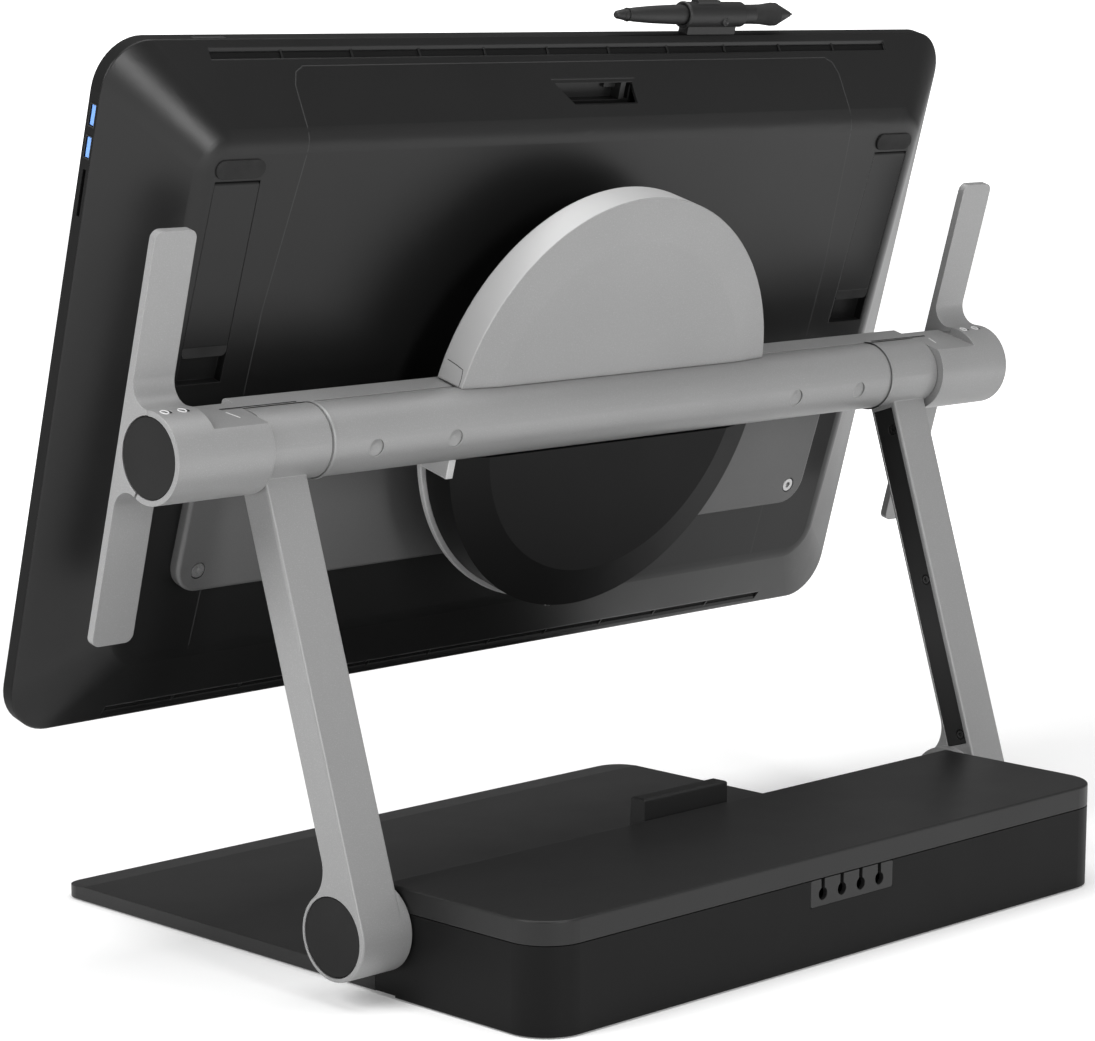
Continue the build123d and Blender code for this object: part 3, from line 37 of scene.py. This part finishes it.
# --- the frame's main planes, as in the CAD part (metres; left pieces are on the +X side) ---
LEAN = math.radians(15.36)
TUBE = Vector((0, 0.0193, 0.2945))
DEPTH = Vector((0, math.cos(LEAN), -math.sin(LEAN)))
UP = Vector((0, math.sin(LEAN), math.cos(LEAN)))
SIDE = Vector((1, 0, 0))
TUBE_DEPTH = 93.6
GLASS = TUBE - DEPTH * TUBE_DEPTH * MM


def on_display(x, v, n):
    """A point x mm along the tube, v mm up the display and n mm behind its glass."""
    return GLASS + (SIDE * x + UP * v + DEPTH * n) * MM


def on_head(x, depth, v):
    """A point x mm along the tube, depth mm behind its axis and v mm above it."""
    return TUBE + (SIDE * x + UP * v + DEPTH * depth) * MM


# ------------------------------------------------------------------------------------------
# Materials: grain, a slow change of tone, and softened edges on all but the circuit boards
# ------------------------------------------------------------------------------------------
class Finish:
    """Builds one node material step by step."""

    def __init__(self, name, rough, metal=0.0, specular=0.5, coat=0.0):
        self.mat = bpy.data.materials.new(name)
        self.mat.use_nodes = True
        self.tree = self.mat.node_tree
        self.shader = self.tree.nodes["Principled BSDF"]
        self.shader.inputs["Roughness"].default_value = rough
        self.shader.inputs["Metallic"].default_value = metal
        self.shader.inputs["Specular IOR Level"].default_value = specular
        self.shader.inputs["Coat Weight"].default_value = coat
        self.coords = self.node("ShaderNodeTexCoord").outputs["Object"]

    def node(self, kind, **values):
        made = self.tree.nodes.new(kind)
        for key, value in values.items():
            if hasattr(made, key):
                setattr(made, key, value)
            else:
                made.inputs[key].default_value = value
        return made

    def link(self, source, target):
        self.tree.links.new(source, target)

    def noise(self, scale, detail=2.0, stretch=None):
        tex = self.node("ShaderNodeTexNoise", Scale=scale, Detail=detail)
        vector = self.coords
        if stretch:
            mapping = self.node("ShaderNodeMapping", Scale=stretch)
            self.link(vector, mapping.inputs["Vector"])
            vector = mapping.outputs["Vector"]
        self.link(vector, tex.inputs["Vector"])
        return tex.outputs["Fac"]

    def ranged(self, value, low, high, from_low=0.3, from_high=0.7):
        made = self.node("ShaderNodeMapRange")
        limits = {"From Min": from_low, "From Max": from_high, "To Min": low, "To Max": high}
        for key, number in limits.items():
            made.inputs[key].default_value = number
        self.link(value, made.inputs["Value"])
        return made.outputs["Result"]

    def mixed(self, factor, a, b):
        made = self.node("ShaderNodeMix", data_type="RGBA")
        for socket, value in ((made.inputs[6], a), (made.inputs[7], b)):
            if isinstance(value, tuple):
                socket.default_value = value
            else:
                self.link(value, socket)
        self.link(factor, made.inputs[0])
        return made.outputs[2]

    def edges(self, radius):
        bevel = self.node("ShaderNodeBevel", samples=4, Radius=radius)
        return bevel.outputs["Normal"]

    def scuffs_and_edge_highlight(self, normal, strength):
        """Mask of lighter edges, partly scuffing and partly a painted highlight: 0 on flat surfaces, rising
        to strength where an edge has been rounded off.
        """
        dot = self.node("ShaderNodeVectorMath", operation="DOT_PRODUCT")
        geometry = self.node("ShaderNodeNewGeometry")
        self.link(normal, dot.inputs[0])
        self.link(geometry.outputs["Normal"], dot.inputs[1])
        return self.ranged(dot.outputs["Value"], strength, 0.0, 0.88, 1.0)

    def bump(self, height, depth, normal=None):
        made = self.node("ShaderNodeBump", Distance=depth)
        made.inputs["Strength"].default_value = 1.0
        self.link(height, made.inputs["Height"])
        if normal is not None:
            self.link(normal, made.inputs["Normal"])
        return made.outputs["Normal"]


def grey(value, tint=(1, 1, 1)):
    return (value * tint[0], value * tint[1], value * tint[2], 1)


def coated(name, tone, rough, *, metal=0.0, specular=0.5, coat=0.0, grain=1400.0, grain_depth=0.00003,
           drift=0.1, smudge=0.05, edge=0.0005, scuff_and_highlight=0.3, fleck=0.0, tint=(1, 1, 1)):
    """Paint or moulded plastic: fine grain, drifting tone, smudged sheen, and lighter edges that are partly
    scuffing and partly a painted highlight.
    """
    f = Finish(name, rough, metal, specular, coat)
    drifting = f.ranged(f.noise(9.0, 3.0), 0.0, 1.0)
    colour = f.mixed(drifting, grey(tone * (1 - drift), tint), grey(tone * (1 + drift), tint))
    if fleck:
        sparkle = f.ranged(f.noise(2600.0, 0.0), 0.0, fleck, 0.55, 0.75)
        colour = f.mixed(sparkle, colour, grey(min(1.0, tone * 1.7), tint))
    rounded = f.edges(edge)
    # edges lightened by the bevel mask: partly scuffing, partly a painted highlight along rounded edges
    colour = f.mixed(f.scuffs_and_edge_highlight(rounded, scuff_and_highlight), colour, grey(min(1.0, tone * 1.6 + 0.01), tint))
    f.link(colour, f.shader.inputs["Base Color"])
    f.link(f.ranged(f.noise(22.0, 5.0), rough - smudge, rough + smudge), f.shader.inputs["Roughness"])
    f.link(f.bump(f.noise(grain, 2.0), grain_depth, rounded), f.shader.inputs["Normal"])
    return f.mat


RIM_BELOW, FACE_ABOVE = 0.45, 0.85


def painted_rim_highlight(material, axis, tone):
    """Painted highlight: lighten the faces that look away from an axis, so a rim band reads as lit."""
    tree = material.node_tree
    shader = tree.nodes["Principled BSDF"]
    base = shader.inputs["Base Color"].links[0].from_socket
    geometry = tree.nodes.new("ShaderNodeNewGeometry")
    facing = tree.nodes.new("ShaderNodeVectorMath")
    facing.operation = "DOT_PRODUCT"
    facing.inputs[1].default_value = axis
    tree.links.new(geometry.outputs["True Normal"], facing.inputs[0])
    size = tree.nodes.new("ShaderNodeMath")
    size.operation = "ABSOLUTE"
    tree.links.new(facing.outputs["Value"], size.inputs[0])
    # painted highlight mask: 1 on faces across the axis, falling to 0 on faces along it
    rim = tree.nodes.new("ShaderNodeMapRange")
    limits = {"From Min": RIM_BELOW, "From Max": FACE_ABOVE, "To Min": 1.0, "To Max": 0.0}
    for key, number in limits.items():
        rim.inputs[key].default_value = number
    tree.links.new(size.outputs["Value"], rim.inputs["Value"])
    mix = tree.nodes.new("ShaderNodeMix")
    mix.data_type = "RGBA"
    mix.inputs[7].default_value = grey(tone)
    tree.links.new(rim.outputs["Result"], mix.inputs[0])
    tree.links.new(base, mix.inputs[6])
    tree.links.new(mix.outputs[2], shader.inputs["Base Color"])


def brushed(name, tone, rough, tint=(1, 1, 1), stretch=(40, 1, 1)):
    """Turned or brushed bare metal: streaks one way, and a few darker stains."""
    f = Finish(name, rough, metal=1.0)
    streaks = f.noise(900.0, 3.0, stretch=stretch)
    stains = f.ranged(f.noise(60.0, 4.0), 0.0, 1.0)
    colour = f.mixed(stains, grey(tone * 0.85, tint), grey(min(1.0, tone * 1.12), tint))
    f.link(colour, f.shader.inputs["Base Color"])
    f.link(f.ranged(streaks, rough - 0.08, rough + 0.1), f.shader.inputs["Roughness"])
    f.link(f.bump(streaks, 0.00002, f.edges(0.0003)), f.shader.inputs["Normal"])
    return f.mat


def soft_rubber(name, tone):
    """Matt rubber with a pebbled skin and a dusty bloom."""
    f = Finish(name, 0.8, specular=0.35)
    bloom = f.ranged(f.noise(70.0, 6.0), 0.0, 1.0)
    f.link(f.mixed(bloom, grey(tone), grey(tone * 2.0)), f.shader.inputs["Base Color"])
    cells = f.node("ShaderNodeTexVoronoi", Scale=1300.0)
    f.link(f.coords, cells.inputs["Vector"])
    f.link(f.bump(cells.outputs["Distance"], 0.00006, f.edges(0.0005)), f.shader.inputs["Normal"])
    f.link(f.ranged(f.noise(45.0, 3.0), 0.7, 0.88), f.shader.inputs["Roughness"])
    return f.mat


def circuit_board(name):
    """Green board with copper tracks showing through its lacquer."""
    f = Finish(name, 0.35)
    cells = f.node("ShaderNodeTexVoronoi", Scale=160.0, feature="DISTANCE_TO_EDGE")
    f.link(f.coords, cells.inputs["Vector"])
    tracks = f.ranged(cells.outputs["Distance"], 1.0, 0.0, 0.02, 0.08)
    f.link(f.mixed(tracks, (0.01, 0.07, 0.03, 1), (0.04, 0.2, 0.08, 1)), f.shader.inputs["Base Color"])
    f.link(f.bump(tracks, 0.00004), f.shader.inputs["Normal"])
    f.link(f.ranged(f.noise(40.0, 2.0), 0.28, 0.42), f.shader.inputs["Roughness"])
    return f.mat


def screen_glass(name, half_w, half_h):
    """Etched glass over the dark panel: the lit area is a shade apart from its printed border."""
    f = Finish(name, 0.24, specular=0.5, coat=0.3)
    f.shader.inputs["Coat Roughness"].default_value = 0.12
    place = f.node("ShaderNodeVectorMath", operation="SUBTRACT")
    place.inputs[1].default_value = GLASS
    f.link(f.coords, place.inputs[0])
    masks = []
    for axis, half in ((SIDE, half_w), (UP, half_h)):
        along = f.node("ShaderNodeVectorMath", operation="DOT_PRODUCT")
        along.inputs[1].default_value = axis
        f.link(place.outputs["Vector"], along.inputs[0])
        size = f.node("ShaderNodeMath", operation="ABSOLUTE")
        f.link(along.outputs["Value"], size.inputs[0])
        masks.append(f.ranged(size.outputs["Value"], 1.0, 0.0, half - 0.0002, half + 0.0002))
    both = f.node("ShaderNodeMath", operation="MULTIPLY")
    f.link(masks[0], both.inputs[0])
    f.link(masks[1], both.inputs[1])
    colour = f.mixed(both.outputs["Value"], grey(0.004), (0.011, 0.012, 0.0145, 1))
    f.link(colour, f.shader.inputs["Base Color"])
    f.link(f.ranged(f.noise(26.0, 5.0), 0.24, 0.255), f.shader.inputs["Roughness"])
    f.link(f.bump(f.noise(3000.0, 1.0), 0.000006, f.edges(0.0006)), f.shader.inputs["Normal"])
    return f.mat


GREY = coated("grey_paint", 0.25, 0.42, metal=0.25, fleck=0.25, drift=0.03, edge=0.0007, scuff_and_highlight=0.6)
# wide, strong edge lightening on the disc trim and disc cover: a painted highlight along the disc's rim
# edges
GREY_LIGHT = coated("grey_paint_light", 0.46, 0.36, metal=0.2, fleck=0.2, drift=0.03, edge=0.0014, scuff_and_highlight=0.9)
DISC = coated("grey_disc", 0.25, 0.42, metal=0.25, fleck=0.25, drift=0.03, edge=0.0014, scuff_and_highlight=0.9)
# painted highlight: the disc cover's rim band is lighter by the way its faces point
painted_rim_highlight(DISC, DEPTH, 0.44)
GREY_DARK = coated("grey_paint_dark", 0.1, 0.45, metal=0.2, fleck=0.2, drift=0.04, edge=0.0007, scuff_and_highlight=0.5)
BLACK = coated(
    "black_plastic", 0.012, 0.42, grain=1600.0, drift=0.05, smudge=0.02, specular=0.3, edge=0.0008
)
# painted shade: a darker, duller copy of the black plastic for the rear box and the lower disc cover
SHADED_BLACK = coated("shaded_black", 0.004, 0.5, grain=1500.0, drift=0.05, smudge=0.02, specular=0.13, scuff_and_highlight=0.25)
BACK = coated("black_back", 0.008, 0.34, grain=1500.0, drift=0.05, smudge=0.015, specular=0.3, edge=0.0008)
FRAME = coated("black_frame", 0.006, 0.6, grain=1500.0, drift=0.05, smudge=0.03, specular=0.12, scuff_and_highlight=0.2)
BLACK_STEEL = coated(
    "black_steel", 0.006, 0.42, grain=1100.0, grain_depth=0.00004, drift=0.06, smudge=0.03, specular=0.35
)
DARK_GREY = coated("dark_grey_plastic", 0.015, 0.45, grain=1500.0, specular=0.35, scuff_and_highlight=0.3)
CAP = coated("matt_cap", 0.0055, 0.55, grain=1100.0, grain_depth=0.00005, specular=0.22, scuff_and_highlight=0.15)
PEN = coated("pen_plastic", 0.012, 0.45, grain=1800.0, specular=0.35, scuff_and_highlight=0.3)
BLUE = coated("blue_plastic", 0.34, 0.35, grain=900.0, grain_depth=0.00001, tint=(0.5, 1.05, 2.4), scuff_and_highlight=0.3)
LINE = coated("seam_line", 0.03, 0.5, grain=900.0, specular=0.3, scuff_and_highlight=0.0)
# light tone: the sleeve ticks' own mark, and a painted highlight on the screw collars
MARK_AND_HIGHLIGHT = coated("light_mark_and_highlight", 0.62, 0.45, grain=900.0, specular=0.4, drift=0.03, scuff_and_highlight=0.1)
# painted shade: near-black for the shaded inside of the beam's narrow cut and of the vents
SEAM_SHADOW = coated("seam_shadow", 0.003, 0.7, grain=700.0, specular=0.15, scuff_and_highlight=0.0)
RUBBER = soft_rubber("rubber", 0.008)
STEEL = brushed("steel", 0.5, 0.32)
DARK_STEEL = brushed("dark_steel", 0.06, 0.35)
BRASS = brushed("brass", 0.6, 0.3, tint=(1.0, 0.74, 0.38))
ALUMINIUM = brushed("pressed_aluminium", 0.6, 0.45)
IRON = coated("cast_iron", 0.05, 0.7, metal=0.6, grain=420.0, grain_depth=0.0003, drift=0.3)
BOARD = circuit_board("circuit_board")
LIT_HALF_W, LIT_HALF_H = 0.2612, 0.1484
GLASS_MAT = screen_glass("etched_glass", LIT_HALF_W, LIT_HALF_H)

FINISHES = {
    GREY: "left_arm right_arm head_beam left_lever right_lever tube_cover tube_cover_screws",
    DISC: "disc_cover_upper",
    GREY_LIGHT: "disc_trim",
    GREY_DARK: "adapter_plate",
    SHADED_BLACK: "rear_box disc_cover_lower",
    BLACK: "base_lid display_stop left_cable_cover right_cable_cover pen_holder base_plate turntable_ring",
    BACK: "back_cover left_leg right_leg",
    FRAME: "front_frame",
    BLACK_STEEL: "base_weight rotor_plate",
    DARK_GREY: "cable_organizer pocket_latch power_button",
    CAP: "hub_caps head_caps",
    RUBBER: "base_feet rear_pads left_leg_foot right_leg_foot pen_grip",
    STEEL: "hub_spindles tilt_shafts brake_discs rotation_axle adapter_screws leg_pins hub_springs",
    DARK_STEEL: "base_screws cover_screws sleeve_screws usb_ports",
    BRASS: "hub_bushes knuckle_bushes",
    ALUMINIUM: "mid_frame heat_sink",
    IRON: "ballast_block",
    BOARD: "main_board digitizer_board",
    GLASS_MAT: "front_glass lcd_panel",
    BLUE: "usb_tongues",
    SEAM_SHADOW: "vent_screens",
    PEN: "pen_body pen_eraser pen_tip",
}
for material, names in FINISHES.items():
    for node_name in names.split():
        for material_slot in NODES[node_name].material_slots:
            material_slot.material = material


# ------------------------------------------------------------------------------------------
# Making pieces
# ------------------------------------------------------------------------------------------
def add_piece(name, mesh, material, body):
    obj = bpy.data.objects.new(name, mesh)
    bpy.context.scene.collection.objects.link(obj)
    mesh.materials.append(material)
    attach(obj, body)
    return obj


def mesh_of(bm, name):
    bmesh.ops.recalc_face_normals(bm, faces=bm.faces)
    mesh = bpy.data.meshes.new(name)
    bm.to_mesh(mesh)
    bm.free()
    for polygon in mesh.polygons:
        polygon.use_smooth = True
    return mesh


def turned(name, start, axis, outline, steps=64):
    """A body of revolution from (distance along the axis, radius) points in mm."""
    axis = axis.normalized()
    across = axis.orthogonal().normalized()
    other = axis.cross(across)
    bm = bmesh.new()
    rings = []
    for along, radius in outline:
        centre = start + axis * along * MM
        if radius <= 0:
            rings.append([bm.verts.new(centre)])
            continue
        turns = [2 * math.pi * i / steps for i in range(steps)]
        spokes = [across * math.cos(a) + other * math.sin(a) for a in turns]
        rings.append([bm.verts.new(centre + spoke * radius * MM) for spoke in spokes])
    for lower, upper in zip(rings, rings[1:]):
        for i in range(steps):
            j = (i + 1) % steps
            if len(lower) == 1:
                bm.faces.new((lower[0], upper[i], upper[j]))
            elif len(upper) == 1:
                bm.faces.new((lower[i], lower[j], upper[0]))
            else:
                bm.faces.new((lower[i], lower[j], upper[j], upper[i]))
    return mesh_of(bm, name)


def tree_of(node_name):
    mesh = NODES[node_name].data
    return BVHTree.FromPolygons([v.co for v in mesh.vertices], [p.vertices for p in mesh.polygons])


def laid_ribbon(name, points, direction, surface, width, proud=0.06, step=3.0):
    """A narrow seam laid along a line of points, each dropped along direction onto a surface."""
    spots = []
    for a, b in zip(points, points[1:]):
        count = max(1, int((b - a).length / (step * MM)))
        spots += [a.lerp(b, i / count) for i in range(count)]
    spots.append(points[-1])
    hits = []
    for spot in spots:
        place, normal, _, _ = surface.ray_cast(spot, direction)
        if place is not None:
            if normal.dot(direction) > 0:
                normal = -normal
            hits.append((place, normal))
    bm = bmesh.new()
    rows = []
    for i, (place, normal) in enumerate(hits):
        along = (hits[min(i + 1, len(hits) - 1)][0] - hits[max(i - 1, 0)][0]).normalized()
        across = along.cross(normal).normalized() * width * MM / 2
        lift = normal * proud * MM
        rows.append([bm.verts.new(spot) for spot in (place - across, place + lift, place + across)])
    for lower, upper in zip(rows, rows[1:]):
        for k in range(2):
            bm.faces.new((lower[k], lower[k + 1], upper[k + 1], upper[k]))
    return mesh_of(bm, name)


# --- the service panel's seam on the display's back: across the top and down both sides -------
back_surface = tree_of("back_cover")
FAR_BEHIND, FAR_ABOVE = 90.0, 60.0
PANEL_TOP_X, PANEL_X, PANEL_LOW_X, PANEL_FOOT_X = 214.0, 222.0, 232.0, 236.0
PANEL_TOP, PANEL_SHOULDER, PANEL_CREASE, PANEL_LOW, PANEL_FOOT = 184.0, 176.0, 151.5, 55.0, -150.0
SIDE_SEAM_W, TOP_SEAM_W = 0.7, 0.5
for sign, side_name in ((1, "left"), (-1, "right")):
    line = [(PANEL_TOP_X, PANEL_TOP), (PANEL_X - 3, PANEL_TOP - 2), (PANEL_X, PANEL_SHOULDER)]
    line += [(PANEL_X, PANEL_CREASE), (PANEL_LOW_X, PANEL_LOW), (PANEL_FOOT_X, PANEL_FOOT)]
    points = [on_display(sign * x, v, FAR_BEHIND) for x, v in line]
    ribbon = laid_ribbon("service_seam", points, -DEPTH, back_surface, SIDE_SEAM_W)
    add_piece("service_seam_" + side_name, ribbon, LINE, "display")

points = [on_display(x, PANEL_TOP + 0.5, FAR_BEHIND) for x in (PANEL_TOP_X, -PANEL_TOP_X)]
ribbon = laid_ribbon("service_seam_top", points, -DEPTH, back_surface, TOP_SEAM_W)
add_piece("service_seam_top", ribbon, LINE, "display")

# --- split line between the disc's rim and its end block ------------------------------------
TRIM_R, TRIM_N0, TRIM_N1, SPLIT_W = 126.7, 73.1, 91.5, 0.5
trim_surface = tree_of("disc_cover_upper")


def on_rim(angle, n, radius=TRIM_R + 8):
    """A point just outside the disc's rim, at an angle up from the tube's +X end."""
    turn = math.radians(angle)
    return on_display(radius * math.cos(turn), radius * math.sin(turn), n)


for sign, side_name in ((1, "left"), (-1, "right")):
    spots = [(13.8, TRIM_N0), (13.4, 84.0), (13.0, 90.4), (11.0, TRIM_N1), (8.9, TRIM_N1)]
    points = [on_rim(angle if sign > 0 else 180 - angle, n) for angle, n in spots]
    ribbon = laid_ribbon("rim_split", points, -SIDE * sign, trim_surface, SPLIT_W)
    add_piece("rim_split_" + side_name, ribbon, DARK_GREY, "head")

# --- light ticks on the flats of the tube's sleeves ------------------------------------------
head_surface = tree_of("head_beam")
TICK_START, TICK_END, TICK_W = (290.1, -4.0), (287.2, 4.7), 1.0
for sign, side_name in ((1, "left"), (-1, "right")):
    points = [on_head(sign * x, depth, FAR_ABOVE) for x, depth in (TICK_START, TICK_END)]
    tick = laid_ribbon("sleeve_tick", points, -UP, head_surface, TICK_W)
    add_piece("sleeve_tick_" + side_name, tick, MARK_AND_HIGHLIGHT, "head")

# --- painted shade: a flat black strip along the sleeve's flat and the beam beside the knuckle, for the narrow cut ---
SLIT_X0, SLIT_X1, SLIT_DEPTH, SLIT_W = 291.0, 238.0, -8.5, 1.2
for sign, side_name in ((1, "left"), (-1, "right")):
    points = [on_head(sign * x, SLIT_DEPTH, FAR_ABOVE) for x in (SLIT_X0, SLIT_X1)]
    gap_shade = laid_ribbon("beam_gap_shade", points, -UP, head_surface, SLIT_W)
    add_piece("beam_gap_shade_" + side_name, gap_shade, SEAM_SHADOW, "head")


LIP_SHARE = 0.35


def ring_piece(name, centre, axis, inner, outer, height, material, body, slot):
    """A small turned collar with rounded lips round a hole or a screw."""
    lip = height * LIP_SHARE
    outline = [(0, inner), (height - lip, inner), (height, inner + lip), (height, outer - lip)]
    outline += [(height - lip, outer), (0, outer)]
    ring = turned(name, centre, axis, outline)
    return add_piece(name, ring, material, body)


# collars at the arms' inner ends, on the tube's cover
COLLAR_X, COLLAR_IN, COLLAR_OUT, COLLAR_T = 230.3, 20.0, 21.3, 1.9
for sign, side_name in ((1, "left"), (-1, "right")):
    centre = on_head(sign * COLLAR_X, 0, 0)
    size = (COLLAR_IN, COLLAR_OUT, COLLAR_T)
    ring_piece("arm_collar_" + side_name, centre, SIDE * sign, *size, GREY, "head", "grey_plastic")

# collars by the sleeve screws. Each ray is moved towards +X to miss the screw's recess, and the
# collar is centred where the ray lands: a known fault, as it should be centred on the screw
# the collars' light tone is a painted highlight, for the lit lip round each screw's recess
SLEEVE_SCREW_X = (321.0, 332.5)
RAY_SHIFT, COLLAR_SUNK = 2.4, 0.25
SCREW_COLLAR = (1.9, 2.6, 0.5)
for sign, x in [(sign, x) for sign in (1, -1) for x in SLEEVE_SCREW_X]:
    name = f"screw_collar_{'left' if sign > 0 else 'right'}_{int(x)}"
    place, _, _, _ = head_surface.ray_cast(on_head(sign * x + RAY_SHIFT, 0, FAR_ABOVE), -UP)
    ring_piece(name, place - UP * COLLAR_SUNK * MM, UP, *SCREW_COLLAR, MARK_AND_HIGHLIGHT, "head", "steel")

# --- pen and holder: ring on the pen's tail, lip and knob on the loop --------------------------
PEN_V, PEN_N = 208.5, 5.0
TAIL_RING_X, TAIL_RING = -42.4, (3.4, 4.1, 0.8)
LIP_X, LIP = -91.6, (6.4, 7.9, 1.8)
KNOB_X, KNOB_V, KNOB_N = -121.5, 205.8, 11.0
tail_centre = on_display(TAIL_RING_X, PEN_V, PEN_N)
ring_piece("pen_tail_ring", tail_centre, -SIDE, *TAIL_RING, LINE, "pen", "pen_plastic")
lip_centre = on_display(LIP_X, PEN_V, PEN_N)
ring_piece("holder_lip", lip_centre, SIDE, *LIP, DARK_GREY, "display", "black_plastic")
knob_outline = [(0, 2.7), (1.6, 2.7), (2.3, 2.1), (2.3, 1.6), (1.5, 1.3), (1.5, 0)]
knob = turned("holder_knob", on_display(KNOB_X, KNOB_V, KNOB_N), DEPTH, knob_outline)
add_piece("holder_knob", knob, DARK_GREY, "display")

# --- small pin in the disc's lower edge -------------------------------------------------------
PIN_V, PIN_N, PIN_LONG, PIN_R = -126.5, 76.0, 8.0, 2.2
pin_start = on_display(0, PIN_V, PIN_N)
pin_outline = [(0, 0), (0, PIN_R), (PIN_LONG - 0.8, PIN_R), (PIN_LONG, 1.6)]
pin_outline += [(PIN_LONG, 1.0), (PIN_LONG - 1.2, 0)]
pin = turned("disc_pin", pin_start, -UP, pin_outline)
add_piece("disc_pin", pin, STEEL, "head")

# ------------------------------------------------------------------------------------------
# Floor, light, camera
# ------------------------------------------------------------------------------------------
floor_mesh = bpy.data.meshes.new("floor")
FLOOR = 6.0
floor_mesh.from_pydata(
    [(-FLOOR, -FLOOR, 0), (FLOOR, -FLOOR, 0), (FLOOR, FLOOR, 0), (-FLOOR, FLOOR, 0)], [], [(0, 1, 2, 3)]
)
floor = bpy.data.objects.new("floor", floor_mesh)
bpy.context.scene.collection.objects.link(floor)
floor_finish = Finish("floor_paint", 0.7, specular=0.2)
floor_tone = floor_finish.ranged(floor_finish.noise(3.0, 2.0), 0.0, 1.0)
floor_finish.link(
    floor_finish.mixed(floor_tone, grey(0.86), grey(0.88)), floor_finish.shader.inputs["Base Color"]
)
# the floor glows a little, and more away from the object
GLOW_NEAR, GLOW_FAR, NEAR, FAR = 0.15, 1.0, 0.7, 1.7
distance = floor_finish.node("ShaderNodeVectorMath", operation="LENGTH")
floor_finish.link(floor_finish.coords, distance.inputs[0])
glow = floor_finish.ranged(distance.outputs["Value"], GLOW_NEAR, GLOW_FAR, NEAR, FAR)
floor_finish.shader.inputs["Emission Color"].default_value = (1, 1, 1, 1)
floor_finish.link(glow, floor_finish.shader.inputs["Emission Strength"])
floor_mesh.materials.append(floor_finish.mat)

# the backdrop is brighter to the camera than the even light it gives the object
world = bpy.data.worlds.new("studio")
bpy.context.scene.world = world
world.use_nodes = True
BACKDROP, AMBIENT = 1.6, 0.18
nodes, links = world.node_tree.nodes, world.node_tree.links
background = nodes["Background"]
path = nodes.new("ShaderNodeLightPath")
strength = nodes.new("ShaderNodeMapRange")
strength.inputs["To Min"].default_value = AMBIENT
strength.inputs["To Max"].default_value = BACKDROP
background.inputs["Color"].default_value = (1, 1, 1, 1)
links.new(path.outputs["Is Camera Ray"], strength.inputs["Value"])
links.new(strength.outputs["Result"], background.inputs["Strength"])


def softbox(name, place, target, size, power):
    light = bpy.data.lights.new(name, "AREA")
    light.shape = "RECTANGLE"
    light.size, light.size_y = size
    light.energy = power
    lamp = bpy.data.objects.new(name, light)
    lamp.location = place
    lamp.rotation_euler = (Vector(target) - Vector(place)).to_track_quat("-Z", "Y").to_euler()
    bpy.context.scene.collection.objects.link(lamp)


MIDDLE = (0, 0, 0.25)
softbox("key", (2.0, -0.2, 1.5), MIDDLE, (1.2, 1.2), 36)
softbox("top", (0.0, 0.2, 2.6), MIDDLE, (2.6, 2.6), 62)
softbox("fill", (-1.6, 1.6, 0.9), MIDDLE, (1.4, 1.2), 3)
softbox("glint", (0.45, 2.3, 0.85), (0.31, 0, 0.48), (0.4, 0.8), 22)
bpy.context.scene.view_settings.view_transform = "Standard"

camera_data = bpy.data.cameras.new("camera")
camera_data.sensor_width = 36.0
camera_data.lens = 112.3
camera_data.shift_x = 0.0146
camera_data.shift_y = 0.0650
camera = bpy.data.objects.new("camera", camera_data)
camera.location = (1.4200, 1.4031, 0.5274)
look = Vector((-0.6895, -0.7039, -0.1707))
ROLL = math.radians(0.1)
aim = look.to_track_quat("-Z", "Y").to_matrix()
camera.rotation_euler = (aim @ Matrix.Rotation(ROLL, 3, "Z")).to_euler()
bpy.context.scene.collection.objects.link(camera)
bpy.context.scene.camera = camera
